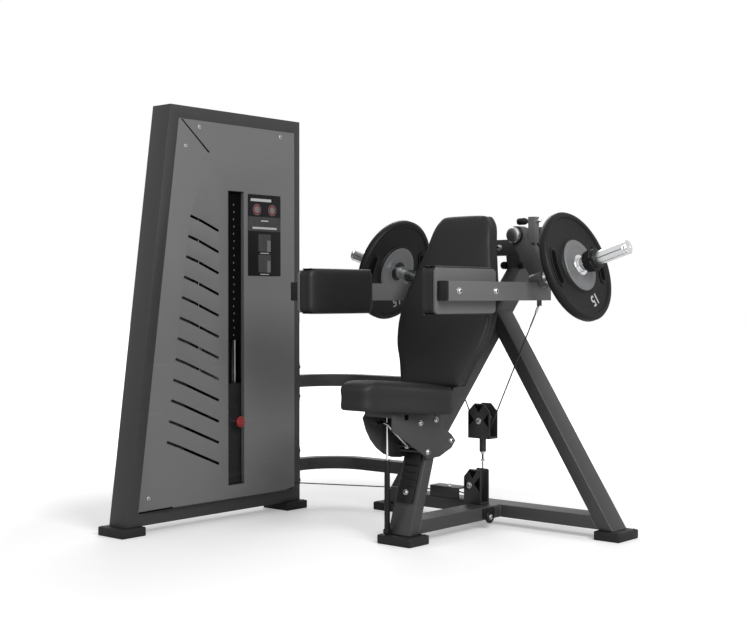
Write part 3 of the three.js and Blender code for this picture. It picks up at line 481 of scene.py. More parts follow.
def bolt_tree():
    """A washer, a head, a dome and a dark hex of painted shade for the socket on every point, turned to its
    facing.
    """
    tree = bpy.data.node_groups.new("bolt_heads", "GeometryNodeTree")
    face = tree.interface
    face.new_socket("Geometry", in_out="INPUT", socket_type="NodeSocketGeometry")
    for label in ("Radius", "Height", "Dome"):
        face.new_socket(label, in_out="INPUT", socket_type="NodeSocketFloat")
    for label in ("Metal", "Socket"):
        face.new_socket(label, in_out="INPUT", socket_type="NodeSocketMaterial")
    face.new_socket("Geometry", in_out="OUTPUT", socket_type="NodeSocketGeometry")
    given, out = tree.nodes.new("NodeGroupInput").outputs, tree.nodes.new("NodeGroupOutput")

    def scaled(output, factor):
        return calculate(tree, "MULTIPLY", output, factor)

    def drum(sides, bottom, top, depth, lift):
        values = {"Vertices": sides, "Radius Top": top, "Radius Bottom": bottom, "Depth": depth}
        cone = new_node(tree, "GeometryNodeMeshCone", values).outputs["Mesh"]
        height = new_node(tree, "ShaderNodeCombineXYZ", {"Z": lift}).outputs[0]
        values = {"Geometry": cone, "Translation": height}
        return new_node(tree, "GeometryNodeTransform", values).outputs[0]

    share = BOLT_SHARES
    radius, tall = given["Radius"], given["Height"]
    dome = scaled(tall, given["Dome"])
    top = calculate(tree, "ADD", tall, dome)
    ground = scaled(tall, 0.0)
    wide, narrow = scaled(radius, share["washer_foot"]), scaled(radius, share["washer_top"])
    inner = scaled(radius, share["socket"])
    # The socket is a thin dark hex on top of the dome: painted shade in the hex recess
    socket = drum(HEX, inner, inner, scaled(tall, share["socket_rise"]), top)
    values = {"Geometry": socket, "Name": "shaded_recess", "Value": True}
    marked = new_node(tree, "GeometryNodeStoreNamedAttribute", values, data_type="BOOLEAN", domain="FACE")
    parts = [
        drum(BOLT_SIDES, wide, narrow, scaled(tall, share["washer_rise"]), ground),
        drum(BOLT_SIDES, radius, radius, tall, ground),
        drum(BOLT_SIDES, radius, scaled(radius, share["dome_top"]), dome, tall),
        marked.outputs["Geometry"],
    ]
    joined = new_node(tree, "GeometryNodeJoinGeometry")
    for part in reversed(parts):
        tree.links.new(part, joined.inputs[0])
    named = "GeometryNodeInputNamedAttribute"
    facing = new_node(tree, named, {"Name": "facing"}, data_type="FLOAT_VECTOR").outputs["Attribute"]
    turn = new_node(tree, "FunctionNodeAlignRotationToVector", {"Vector": facing}, axis="Z").outputs[0]
    values = {"Points": given["Geometry"], "Instance": joined.outputs[0], "Rotation": turn}
    copies = new_node(tree, "GeometryNodeInstanceOnPoints", values).outputs[0]
    real = new_node(tree, "GeometryNodeRealizeInstances", {0: copies}).outputs[0]
    shaded_recess = new_node(tree, named, {"Name": "shaded_recess"}, data_type="BOOLEAN").outputs["Attribute"]
    values = {"Geometry": real, "Material": given["Metal"]}
    metal = new_node(tree, "GeometryNodeSetMaterial", values).outputs[0]
    # The marked hex faces take the dark material: painted shade in the socket
    values = {"Geometry": metal, "Material": given["Socket"], "Selection": shaded_recess}
    plug(tree, out, {0: new_node(tree, "GeometryNodeSetMaterial", values).outputs[0]})
    return tree


BOLTS = bolt_tree()


def bolts(name, body, places, size, metal=STEEL):
    """Heads of one size at (point, outward direction) places."""
    mesh = bpy.data.meshes.new(name)
    mesh.from_pydata([tuple(point) for point, _ in places], [], [])
    facing = mesh.attributes.new("facing", "FLOAT_VECTOR", "POINT")
    for row, (_, way) in zip(facing.data, places):
        row.vector = way.normalized()
    piece = in_scene(name, mesh)
    modifier = piece.modifiers.new("bolts", "NODES")
    modifier.node_group = BOLTS
    sockets = {item.name: item.identifier for item in BOLTS.interface.items_tree if item.in_out == "INPUT"}
    radius, height, dome = BOLT_SIZES[size]
    values = (radius * MM, height * MM, dome, metal, SHADE_BLACK)
    for label, value in zip(("Radius", "Height", "Dome", "Metal", "Socket"), values):
        modifier[sockets[label]] = value
    bake(piece)
    # Realize Instances leaves an empty slot before the two materials
    piece.data.materials.pop(index=0)
    shade(piece.data, BOLT_ANGLE)
    attach(piece, body)


def all_facing(points, way):
    return [(point, way) for point in points]


# CAD nodes that keep their shape and get rounded edges: nodes, material, edge, segments
FEET = ("front_foot", "near_rear_foot", "far_rear_foot", "tower_left_foot", "tower_right_foot")
MAIN_TUBES = ("front_post", "base_frame", "near_leg", "far_leg", "spine", "back_support", "cross_beam")
ROUNDED_NODES = (
    (MAIN_TUBES, FRAME_PAINT, 4, 3),
    (("tower_frame",), TOWER_PAINT, 4, 3),
    (("upper_tie_tube", "lower_tie_tube"), FRAME_PAINT, 3, 3),
    (("near_arm_tube",), ARM_PAINT, 2.5, 3),
    (("near_pad_plate",), ARM_PAINT, 1.5, 3),
    (("far_arm_tube",), ARM_PAINT, 2.5, 3),
    (("far_pad_plate",), ARM_PAINT, 1.5, 3),
    (("seat_carriage",), FRAME_PAINT, 1.2, 2),
    (FEET, FOOT_RUBBER, 5, 3),
    (("floating_housing", "lower_pulley_housing", "floor_pulley_housing"), HOUSING, 1.5, 2),
    (("rack_cover",), MOULDED, 1, 2),
    (("resting_plates", "lifted_plates", "selector_rod"), IRON, 0.6, 1),
    (("front_panel",), GUARD_PAINT, 0.8, 2),
)
REPAINTED_NODES = (("rear_panel", GUARD_PAINT), ("run_cable", CABLE_COAT), ("stack_buffer", DISC_RUBBER))
FOOT_SCREW_INSET, FOOT_SCREW_SINK = 12, 0.2


def make_rounded_nodes():
    for nodes, material, edge, segments in ROUNDED_NODES:
        for node in nodes:
            rounded(node, material, edge, segments)
    for node, material in REPAINTED_NODES:
        NODES[node].data.materials.clear()
        NODES[node].data.materials.append(material)


def make_foot_screws():
    for node in FEET:
        low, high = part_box(node)
        inset, z = FOOT_SCREW_INSET * MM, high.z - FOOT_SCREW_SINK * MM
        across, along = (low.x + inset, high.x - inset), (low.y + inset, high.y - inset)
        points = [Vector((x, y, z)) for x in across for y in along]
        bolts(node + "_screws", "frame", all_facing(points, Z_AXIS), "foot", MOULDED)


# Loading discs. A profile is the radius, and the distance out of the disc's face
DISC_X, DISC_Y, DISC_Z = 492, 436, 979
DISC_RADIUS, DISC_THICK, DISC_BORE = 202, 33, 26
DISC_TILT = math.radians(17.3)
DISC_FACE = [
    (DISC_BORE, -2),
    (96, -2),
    (99, -3),
    (102, -7),
    (DISC_RADIUS - 46, -7),
    (DISC_RADIUS - 24, -5.5),
    (DISC_RADIUS - 21, -1),
    (DISC_RADIUS - 17, 0),
    (DISC_RADIUS - 9, -0.5),
    (DISC_RADIUS - 4, -3),
    (DISC_RADIUS, -9),
]
HUB_PROFILE = [
    (DISC_BORE, -1.9),
    (94, -1.9),
    (94, 1.2),
    (91, 3),
    (70, 3.4),
    (68, 2.4),
    (50, 2.4),
    (46, 4.2),
    (DISC_BORE, 4.6),
]
HUB_RING_PROFILE = [(DISC_BORE, 4), (38, 4), (37, 4.9), (33, 5), (DISC_BORE, 5)]

# Finger pockets: reach from the disc's middle, half width, half length as a turn, foot and thickness
POCKET_REACH, POCKET_TURN = 150, 0.05
# The pocket part is a dark sheet under the rubber lip: painted shade in the finger pocket
POCKETS = (("lip", 19, 0.36, -7.2, 3.4, DISC_RUBBER), ("pocket", 13, 0.33, -4.1, 0.5, SHADE_BLACK))
POCKET_EDGE = 0.2
NUMBER = {"size": 54, "deep": 0.4, "bold": 0.9, "reach": 134, "lift": -6.6, "turn": math.radians(112)}


def make_discs():
    back = [(radius, -DISC_THICK - along) for radius, along in DISC_FACE]
    profile = back + DISC_FACE[::-1]
    for side, sign in SIDES:
        normal = Vector((0, sign * math.cos(DISC_TILT), math.sin(DISC_TILT)))
        centre = mm(DISC_X, sign * DISC_Y, DISC_Z)
        body = side + "_arm"
        disc = lathe(side + "_disc_body", profile, centre, normal, DISC_RUBBER, DISC_ROUND)
        attach(disc, body, side + "_disc")
        make_disc_face(side + "_outer", body, centre, normal, CHROME)
        make_disc_face(side + "_inner", body, centre - normal * DISC_THICK * MM, -normal, MOULDED)
        make_sleeve(side, body, centre, normal)


def make_disc_face(name, body, centre, normal, ring_material):
    """A grey hub plate with a ring, two finger pockets by the rim and the plain number."""
    attach(lathe(name + "_hub_plate", HUB_PROFILE, centre, normal, HUB_GREY, HUB_ROUND), body)
    attach(lathe(name + "_hub_ring", HUB_RING_PROFILE, centre, normal, ring_material), body)
    first, second = across_from(normal)
    for i in range(2):
        for part, half_wide, half_turn, foot, thick, material in POCKETS:
            points = pocket_outline(POCKET_TURN + i * math.pi, POCKET_REACH, half_wide, half_turn)
            place = on_plane(centre + normal * foot * MM, first, second, normal)
            piece = slab(f"{name}_{part}_{i}", points, thick, place, material, POCKET_EDGE)
            attach(piece, body, slot="disc_rubber")
    make_number(name + "_number", body, centre, normal)


def pocket_outline(middle, reach, half, half_turn):
    """A round-ended strip bent round the disc's middle."""
    steps, cap = 14, 6
    turns = [middle - half_turn + 2 * half_turn * k / steps for k in range(steps + 1)]
    points = [((reach + half) * math.cos(t), (reach + half) * math.sin(t)) for t in turns]
    for end, start, back in ((turns[-1], 0, 1), (turns[0], 1, -1)):
        u, v = reach * math.cos(end), reach * math.sin(end)
        swings = [end + math.pi * (start + k / cap) for k in range(1, cap)]
        points += [(u + half * math.cos(w), v + half * math.sin(w)) for w in swings]
        if back > 0:
            points += [((reach - half) * math.cos(t), (reach - half) * math.sin(t)) for t in reversed(turns)]
    return points


def make_number(name, body, centre, normal):
    letters = bpy.data.curves.new(name, "FONT")
    letters.body = "15"
    letters.size = NUMBER["size"] * MM
    letters.align_x = "CENTER"
    letters.align_y = "CENTER"
    letters.extrude = NUMBER["deep"] * MM
    letters.offset = NUMBER["bold"] * MM
    holder = in_scene(name, letters)
    graph = bpy.context.evaluated_depsgraph_get()
    mesh = bpy.data.meshes.new_from_object(holder.evaluated_get(graph))
    bpy.data.objects.remove(holder)
    first, second = across_from(normal)
    out = first * math.cos(NUMBER["turn"]) + second * math.sin(NUMBER["turn"])
    middle = centre + out * NUMBER["reach"] * MM + normal * NUMBER["lift"] * MM
    place = on_plane(middle, out.cross(normal), out, normal)
    for vertex in mesh.vertices:
        vertex.co = place(*vertex.co / MM)
    mesh.materials.clear()
    mesh.materials.append(MARKING)
    attach(in_scene(name, mesh), body)


# Sleeves with a groove by the tip, and collars with a small lever
SLEEVE_START, SLEEVE_TIP, SLEEVE_RADIUS = -149.6, 205, 25
SLEEVE_PROFILE = [
    (0, SLEEVE_START),
    (SLEEVE_RADIUS, SLEEVE_START),
    (SLEEVE_RADIUS, SLEEVE_TIP - 14),
    (SLEEVE_RADIUS - 1.5, SLEEVE_TIP - 12.5),
    (SLEEVE_RADIUS - 1.5, SLEEVE_TIP - 10),
    (SLEEVE_RADIUS, SLEEVE_TIP - 8.5),
    (SLEEVE_RADIUS, SLEEVE_TIP - 2.5),
    (SLEEVE_RADIUS - 2.5, SLEEVE_TIP),
    (SLEEVE_RADIUS - 9, SLEEVE_TIP),
    (SLEEVE_RADIUS - 10, SLEEVE_TIP - 2),
    (0, SLEEVE_TIP - 2),
]
COLLAR_LOW, COLLAR_HIGH, COLLAR_RADIUS = 30, 80, 40
COLLAR_PROFILE = [
    (DISC_BORE, COLLAR_LOW),
    (COLLAR_RADIUS - 6, COLLAR_LOW),
    (COLLAR_RADIUS - 3, COLLAR_LOW + 3),
    (COLLAR_RADIUS - 3, COLLAR_LOW + 14),
    (COLLAR_RADIUS, COLLAR_LOW + 16),
    (COLLAR_RADIUS, COLLAR_HIGH - 16),
    (COLLAR_RADIUS - 3, COLLAR_HIGH - 14),
    (COLLAR_RADIUS - 4, COLLAR_HIGH - 2),
    (COLLAR_RADIUS - 7, COLLAR_HIGH),
    (DISC_BORE, COLLAR_HIGH),
]
LEVER_ROOT, LEVER_REACH, LEVER_RADIUS = (39, 55), (2, 24), 5


def make_sleeve(side, body, centre, normal):
    attach(lathe(side + "_sleeve_body", SLEEVE_PROFILE, centre, normal, CHROME), body, side + "_sleeve")
    attach(lathe(side + "_collar_body", COLLAR_PROFILE, centre, normal, MOULDED), body, side + "_collar")
    first, _ = across_from(normal)
    root = centre + (first * LEVER_ROOT[0] + normal * LEVER_ROOT[1]) * MM
    tip = root + (first * LEVER_REACH[0] + normal * LEVER_REACH[1]) * MM
    attach(turned_rod(side + "_collar_lever", root, tip, LEVER_RADIUS, MOULDED), body)


# Cushions: rings of an outline through the thickness, as shares of the rise and of the way to the middle,
# with a rolled edge, a seam and a crowned face
PAD_LEVEL_SHARES = [
    (0.0, 0.06), (0.02, 0.03), (0.08, 0.012), (0.16, 0.006), (0.30, 0.014), (0.45, 0.019),
    (0.58, 0.013), (0.665, 0.004), (0.69, 0.009), (0.715, 0.003), (0.78, 0.008), (0.85, 0.026),
    (0.905, 0.062), (0.945, 0.12), (0.97, 0.21), (0.985, 0.34), (0.994, 0.5), (1.0, 0.7), (1.0, 0.88),
]
PAD_POINTS, CURVE_STEPS = 120, 24

# Half outlines of the pads, as shares of the length and of a half width
SEAT_SHARES = [
    (0, 0.55), (0.02, 0.85), (0.07, 1.05), (0.2, 1.22), (0.4, 1.6),
    (0.6, 2.05), (0.78, 2.36), (0.92, 2.42), (0.98, 2.3), (1, 1.95),
]
BACK_SHARES = [
    (0, 0.55), (0.012, 0.64), (0.04, 0.68), (0.14, 0.79), (0.23, 0.92), (0.33, 0.99), (0.42, 1),
    (0.52, 0.98), (0.64, 0.86), (0.72, 0.79), (0.82, 0.7), (0.93, 0.62), (0.98, 0.52), (1, 0.4),
]


def closed_curve(points, count):
    """Even points on a closed smooth curve through the given ones."""
    n = len(points)
    fine = []
    for i in range(n):
        p0, p1, p2, p3 = (Vector(points[(i + k) % n]) for k in (-1, 0, 1, 2))
        for k in range(CURVE_STEPS):
            t = k / CURVE_STEPS
            a = 2 * p1 + (p2 - p0) * t
            b = (2 * p0 - 5 * p1 + 4 * p2 - p3) * t * t
            c = (-p0 + 3 * p1 - 3 * p2 + p3) * t * t * t
            fine.append((a + b + c) * 0.5)
    lengths = [0.0]
    for k in range(len(fine)):
        lengths.append(lengths[-1] + (fine[(k + 1) % len(fine)] - fine[k]).length)
    out, j = [], 0
    for i in range(count):
        want = lengths[-1] * i / count
        while lengths[j + 1] < want:
            j += 1
        share = (want - lengths[j]) / max(lengths[j + 1] - lengths[j], POLE)
        out.append(fine[j].lerp(fine[(j + 1) % len(fine)], share))
    return out


def cushion(name, outline, thick, place, body, node):
    points = closed_curve(outline, PAD_POINTS)
    centre = sum(points, Vector((0, 0))) / len(points)
    count = len(points)
    verts, faces = [], []
    for rise, shrink in PAD_LEVEL_SHARES:
        for p in points:
            q = p.lerp(centre, shrink)
            verts.append(place(q.x, q.y, rise * thick))
    for level in range(len(PAD_LEVEL_SHARES) - 1):
        faces += ring_of_faces(level * count, (level + 1) * count, count)
    last = (len(PAD_LEVEL_SHARES) - 1) * count
    base = len(verts)
    verts += [place(centre.x, centre.y, 0), place(centre.x, centre.y, thick)]
    for k in range(count):
        n = (k + 1) % count
        faces.append((base, n, k))
        faces.append((base + 1, last + k, last + n))
    piece = mesh_object(name, verts, faces, VINYL, SOFT_ANGLE)
    modifier = piece.modifiers.new("smooth", "SUBSURF")
    modifier.levels = 1
    modifier.render_levels = 1
    bake(piece)
    piece.data.shade_smooth()
    attach(piece, body, node)


def half_outline(shares, low, high, half):
    """Both halves of a pad's outline, from low to high and back."""
    near = [(low + (high - low) * s, h * half) for s, h in shares]
    return near + [(u, -v) for u, v in reversed(near)]


POST_LEAN = math.radians(18.7)


def at_post(depth, z):
    """X at a depth behind the front post's front face, at a height."""
    return (depth + math.sin(POST_LEAN) * z) / math.cos(POST_LEAN)


# Pads. The seat rises to its nose, is crowned across and rolls down over the nose
SEAT_NOSE, SEAT_REAR, SEAT_NOSE_HALF = -240, 146, 62
SEAT_SLOPE = math.tan(math.radians(4.5))
SEAT_FOOT, SEAT_THICK, SEAT_HALF = 484, 100, 150
SEAT_CROWN, SEAT_ROLL, SEAT_ROLL_LENGTH = 8, 16, 70
BACK_LOW, BACK_HIGH, BACK_HALF, BACK_THICK, BACK_DEPTH = 545, 1166, 205, 66, 48.1
ARM_PAD_CORNER, ARM_PAD_STEPS = 28, 5


def make_cushions():
    def seat(u, v, w):
        lift = w / SEAT_THICK
        crown = SEAT_CROWN * (1 - (v / SEAT_HALF) ** 2) * lift
        past = max(0.0, (SEAT_NOSE + SEAT_ROLL_LENGTH - u) / SEAT_ROLL_LENGTH)
        foot = SEAT_FOOT - (u - SEAT_NOSE) * SEAT_SLOPE
        return mm(u, v, foot + w + crown - SEAT_ROLL * past ** 2 * lift)

    def back(z, y, w):
        return mm(at_post(BACK_DEPTH - w, z), y, z)

    outline = half_outline(SEAT_SHARES, SEAT_NOSE, SEAT_REAR, SEAT_NOSE_HALF)
    cushion("seat_cushion", outline, SEAT_THICK, seat, "seat", "seat_pad")
    outline = half_outline(BACK_SHARES, BACK_LOW, BACK_HIGH, BACK_HALF)
    cushion("back_cushion", outline, BACK_THICK, back, "frame", "back_pad")
    for side, sign in SIDES:
        node = side + "_arm_pad"
        low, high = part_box(node)
        plate_y = low.y if sign < 0 else high.y
        place = on_plane(Vector((0, plate_y, 0)), X_AXIS, Z_AXIS, -Y_AXIS * sign)
        thick = (high.y - low.y) / MM
        outline = rounded_outline(low.xz / MM, high.xz / MM, ARM_PAD_CORNER, ARM_PAD_STEPS)
        cushion(side + "_arm_cushion", outline, thick, place, side + "_arm", node)


# Arm fittings: end caps, bolts, pivot caps and barrel rings, on the far arm
ARM_CAP_LOW, ARM_CAP_HIGH, ARM_CAP_CORNER = (-20.6, 853.4), (20.6, 918.6), 3
ARM_CAP_X, ARM_CAP_Y, ARM_CAP_THICK, ARM_CAP_EDGE = -166.5, 330, 9, 1.2
ARM_BOLT_X, ARM_BOLT_Y, ARM_BOLT_Z = (-103, 100), 350.2, 886
PIVOT_Y, PIVOT_Z, PIVOT_CAP_X, BARREL_RING_X = 130, 1097, 520, (526, 652)
PIVOT_CAP_PROFILE = [(0, -7), (22, -7), (27.5, -5), (29.5, -1), (29.5, 3), (0, 3)]
BARREL_RING_PROFILE = [(30.0, 0), (32.5, 1), (32.5, 11), (30.0, 12), (29.6, 12), (29.6, 0)]
LINK_BOLT_X, LINK_BOLT_Y, LINK_BOLT_Z = (544.8, 585.2), 240, 925


def make_arm_fittings():
    for side, sign in SIDES:
        body = side + "_arm"
        outline = rounded_outline(ARM_CAP_LOW, ARM_CAP_HIGH, ARM_CAP_CORNER, 4)
        place = on_plane(mm(ARM_CAP_X, sign * ARM_CAP_Y, 0), Y_AXIS, Z_AXIS, X_AXIS)
        attach(slab(side + "_arm_end_cap", outline, ARM_CAP_THICK, place, MOULDED, ARM_CAP_EDGE), body)
        points = [mm(x, sign * ARM_BOLT_Y, ARM_BOLT_Z) for x in ARM_BOLT_X]
        bolts(side + "_arm_bolts", body, all_facing(points, Y_AXIS * sign), "arm")
        pivot = mm(PIVOT_CAP_X, sign * PIVOT_Y, PIVOT_Z)
        attach(lathe(side + "_pivot_cap", PIVOT_CAP_PROFILE, pivot, X_AXIS, STEEL), body)
        for i, x in enumerate(BARREL_RING_X):
            place = mm(x, sign * PIVOT_Y, PIVOT_Z)
            attach(lathe(f"{side}_barrel_ring_{i}", BARREL_RING_PROFILE, place, X_AXIS, MOULDED), body)
        front, rear = (mm(x, sign * LINK_BOLT_Y, LINK_BOLT_Z) for x in LINK_BOLT_X)
        bolts(side + "_link_bolts", body, [(front, -X_AXIS), (rear, X_AXIS)], "link")
        make_pull_pin(side, sign)


PULL_X, PULL_Z, PULL_KNOB_Y, PULL_ROD_Y, PULL_ROD_RADIUS = 560, 1148, 124, (171, 227), 6
PULL_KNOB_PROFILE = [(0, 0), (9, 0), (12, 2), (13, 6), (13, 30), (11, 36), (8, 40), (7, 48), (0, 48)]


def make_pull_pin(side, sign):
    body = side + "_pull_pin"
    start = mm(PULL_X, sign * PULL_KNOB_Y, PULL_Z)
    attach(lathe(side + "_pull_knob", PULL_KNOB_PROFILE, start, Y_AXIS * sign, MOULDED), body, body)
    root, tip = (mm(PULL_X, sign * y, PULL_Z) for y in PULL_ROD_Y)
    attach(turned_rod(side + "_pull_rod", root, tip, PULL_ROD_RADIUS, CHROME), body)


# Cable wheels. Each has the size and the name of its node, and turns on its thin axis
WHEEL_AXES = {
    "floating_wheel": X_AXIS,
    "lower_wheel": X_AXIS,
    "floor_wheel": Z_AXIS,
    "tower_lower_wheel": X_AXIS,
    "tower_top_wheel": Y_AXIS,
}
WHEEL_BORE, WHEEL_HUB = 7, 17


def make_wheels():
    for node, axis in WHEEL_AXES.items():
        low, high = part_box(node)
        radius, half = max(high - low) / 2 / MM, min(high - low) / 2 / MM
        front = [
            (WHEEL_BORE, half),
            (WHEEL_HUB - 1, half),
            (WHEEL_HUB, half - 2),
            (radius - 9, half - 2),
            (radius - 7, half),
            (radius - 0.6, half),
            (radius, half - 1),
            (radius - 3.2, 2),
        ]
        groove = [(radius - 4, 0)]
        profile = [(r, -along) for r, along in front] + groove + front[::-1]
        attach(lathe(node + "_body", profile, (low + high) / 2, axis, MOULDED), node, node)


# Ropes. Each arm's rope and the two upright ones are two lengths that slide in line, and one of the two
# is thicker by a hair
ROPE_RADIUS, ROPE_SPARE, ROPE_SOFT = 2.5, 0.05, 0.3
ROPE_X, ARM_ROPE_LENGTH = 510, 345
ARM_ROPE_FOOT, ARM_ROPE_EYE = (38.88, 381.87), (253, 841)
FERRULE_SPAN, FERRULE_RADIUS, FERRULE_ROUND = (34, 10), 4.5, 20
WRAP_REACH, WRAP_STEPS, WRAP_START, WRAP_SWEEP = 42.9, 24, -25, -130
DROP_STILL, DROP_MOVING = (154, 282), (156, 246)
LIFT_X, LIFT_Y, LIFT_STILL, LIFT_MOVING = -13, 875, (676, 1439), (530.2, 1290)


def rope(name, start, end, body, *nodes, spare=0):
    piece = turned_rod(name, start, end, ROPE_RADIUS + spare, CABLE_COAT, ROPE_SOFT, ROPE_ROUND)
    attach(piece, body, *nodes)


def make_arm_ropes():
    for side, sign in SIDES:
        high = mm(ROPE_X, sign * ARM_ROPE_EYE[0], ARM_ROPE_EYE[1])
        low = mm(ROPE_X, sign * ARM_ROPE_FOOT[0], ARM_ROPE_FOOT[1])
        way = (high - low).normalized() * MM
        end = low + way * ARM_ROPE_LENGTH
        rope(side + "_lower_rope", low, end, side + "_lower_cable", side + "_cable_lower")
        body = side + "_upper_cable"
        foot = high - way * ARM_ROPE_LENGTH
        rope(side + "_upper_rope", foot, high, body, side + "_cable_upper", spare=ROPE_SPARE)
        start, end = (high - way * reach for reach in FERRULE_SPAN)
        name = side + "_rope_ferrule"
        attach(turned_rod(name, start, end, FERRULE_RADIUS, STEEL, segments=FERRULE_ROUND), body)
    centre = middle_of("floating_wheel")
    points = []
    for i in range(WRAP_STEPS + 1):
        turn = math.radians(WRAP_START + WRAP_SWEEP * i / WRAP_STEPS)
        points.append(centre + mm(0, WRAP_REACH * math.cos(turn), WRAP_REACH * math.sin(turn)))
    attach(tube("rope_under_wheel", points, ROPE_RADIUS, CABLE_COAT), "floating_pulley")


def make_upright_ropes():
    low, high = (mm(ROPE_X, 0, z) for z in DROP_STILL)
    rope("drop_rope_still", low, high, "frame", "drop_cable")
    low, high = (mm(ROPE_X, 0, z) for z in DROP_MOVING)
    rope("drop_rope_moving", low, high, "floating_pulley", spare=ROPE_SPARE)
    low, high = (mm(LIFT_X, LIFT_Y, z) for z in LIFT_STILL)
    rope("lift_rope_still", low, high, "frame", "lift_cable")
    low, high = (mm(LIFT_X, LIFT_Y, z) for z in LIFT_MOVING)
    rope("lift_rope_moving", low, high, "lifted_stack", spare=ROPE_SPARE)


# Pulley housings: name, body, the node of the wheel inside, and dark sheets round its axle, painted shade in
# the housing's recesses
HOUSINGS = (
    ("floating", "floating_pulley", "floating_wheel", (
        ((-20, 60), (20, 60), (0, 32)),
        ((-45, 30), (-22, 4), (-45, -22)),
        ((45, 30), (22, 4), (45, -22)),
    )),
    ("lower", "frame", "lower_wheel", (
        ((-34, 56), (2, 56), (-14, 26)),
        ((-48, 36), (-22, 6), (-48, -20)),
        ((22, 30), (14, 6), (22, -20)),
    )),
)
HOUSING_SIDES, HOUSING_BOLT_OUT, RECESS_THICK = ((483, -X_AXIS), (537, X_AXIS)), 0.2, 0.4
NUT_PROFILE = [(4.2, 0), (8.5, 0), (9, 0.6), (9, 6.4), (8.5, 7), (4.2, 7)]
WASHER_PROFILE = [(4.2, 0), (12, 0), (12, 1.6), (4.2, 1.6)]
STEM_NUT_Z, STEM_LOW_NUT_Z, STEM_WASHER_Z = 275, 247, 282.2
FLOOR_BOLT = mm(587, 219, 126.2)


def make_housing_details():
    for name, body, node, recesses in HOUSINGS:
        _, y, z = middle_of(node)
        places = []
        for face, way in HOUSING_SIDES:
            centre = Vector((face * MM, y, z))
            # Dark sheets on both faces: painted shade in the housing's recesses
            for i, points in enumerate(recesses):
                place = on_plane(centre, Y_AXIS, Z_AXIS, way)
                attach(slab(f"{name}_recess_{i}_{face}", points, RECESS_THICK, place, SHADE_BLACK), body)
            places.append((centre + way * HOUSING_BOLT_OUT * MM, way))
        bolts(name + "_pulley_bolts", body, places, "pulley")
    for name, profile, z, sides, angle in (
        ("stem_nut", NUT_PROFILE, STEM_NUT_Z, HEX, HEX_ANGLE),
        ("stem_washer", WASHER_PROFILE, STEM_WASHER_Z, ROUND, SMOOTH_ANGLE),
        ("stem_low_nut", NUT_PROFILE, STEM_LOW_NUT_Z, HEX, HEX_ANGLE),
    ):
        attach(lathe(name, profile, mm(ROPE_X, 0, z), Z_AXIS, STEEL, sides, angle), "floating_pulley")
    bolts("floor_pulley_bolt", "frame", [(FLOOR_BOLT, Z_AXIS)], "pulley")


# Tower dressing. The guard's facet slopes from its face back to its rim
FACE_Y, RIM_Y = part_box("front_panel")[0].y / MM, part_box("tower_frame")[0].y / MM
RIM_BOLTS, FACET_BOLTS = ((-179, 1507), (252, 1508)), ((-248, 1432), (-429, 131))
RIM_BOLT_OUT, FACET_BOLT_OUT = 5, 6
FACET_WAY = Vector((-29 / 138, -1, 0))
# The guard's seams are thin dark rods along the facet folds: painted shade in the gaps where the facets meet
GUARD_SEAMS = (((-262, 1531), (-152, 1413)), ((-470, 82), (-336, 90)))
SEAM_RADIUS, SEAM_SOFT, SEAM_ROUND, SEAM_OUT = 3, 0.4, 12, (0.4, 0.1)
FLANGE_X, FLANGE_BOLT_Y, FLANGE_BOLT_Z = 382.6, (846, 904), (112, 234, 458, 580)


def make_tower_details():
    places = all_facing([mm(x, RIM_Y - RIM_BOLT_OUT, z) for x, z in RIM_BOLTS], -Y_AXIS)
    places += all_facing([mm(x, RIM_Y - FACET_BOLT_OUT, z) for x, z in FACET_BOLTS], FACET_WAY)
    bolts("guard_bolts", "frame", places, "guard")
    make_slot_trim()
    make_placard()
    # Dark rods along the folds: painted shade in the seams' gaps
    for i, (rim, face) in enumerate(GUARD_SEAMS):
        start = mm(rim[0], RIM_Y - SEAM_OUT[0], rim[1])
        end = mm(face[0], FACE_Y - SEAM_OUT[1], face[1])
        seam = turned_rod(f"guard_seam_{i}", start, end, SEAM_RADIUS, SHADE_BLACK, SEAM_SOFT, SEAM_ROUND)
        attach(seam, "frame")
    points = [mm(FLANGE_X, y, z) for y in FLANGE_BOLT_Y for z in FLANGE_BOLT_Z]
    bolts("flange_bolts", "frame", all_facing(points, X_AXIS), "flange")


# The selector slot: turned-in edges, a dark back above the stack as painted shade inside the tower, and a
# row of marks
SLOT_LEFT, SLOT_RIGHT, SLOT_LOW, SLOT_HIGH = -53, 27, 144, 1273
SLOT_DEEP, SLOT_LIP, SLOT_OUT, SLOT_EDGE = 17, 2.6, 0.8, 0.5
SLOT_EDGES = (
    ((SLOT_LEFT - SLOT_LIP, SLOT_LOW - SLOT_LIP), (SLOT_LEFT, SLOT_HIGH + SLOT_LIP), MOULDED),
    ((SLOT_RIGHT, SLOT_LOW - SLOT_LIP), (SLOT_RIGHT + SLOT_LIP, SLOT_HIGH + SLOT_LIP), GUARD_PAINT),
    ((SLOT_LEFT, SLOT_LOW - SLOT_LIP), (SLOT_RIGHT, SLOT_LOW), MOULDED),
    ((SLOT_LEFT, SLOT_HIGH), (SLOT_RIGHT, SLOT_HIGH + SLOT_LIP), MOULDED),
)
SLOT_BACK_Y, SLOT_BACK_LOW, SLOT_BACK_THICK = 811.5, 700, 1.5
MARK_X, MARK_SHIFT, MARK_LOW, MARK_STEP, MARK_COUNT = -14, 3, 716, 28, 19
MARK_WIDE, MARK_TALL, MARK_THICK, MARK_Y = 4, 7, 0.3, 811.3


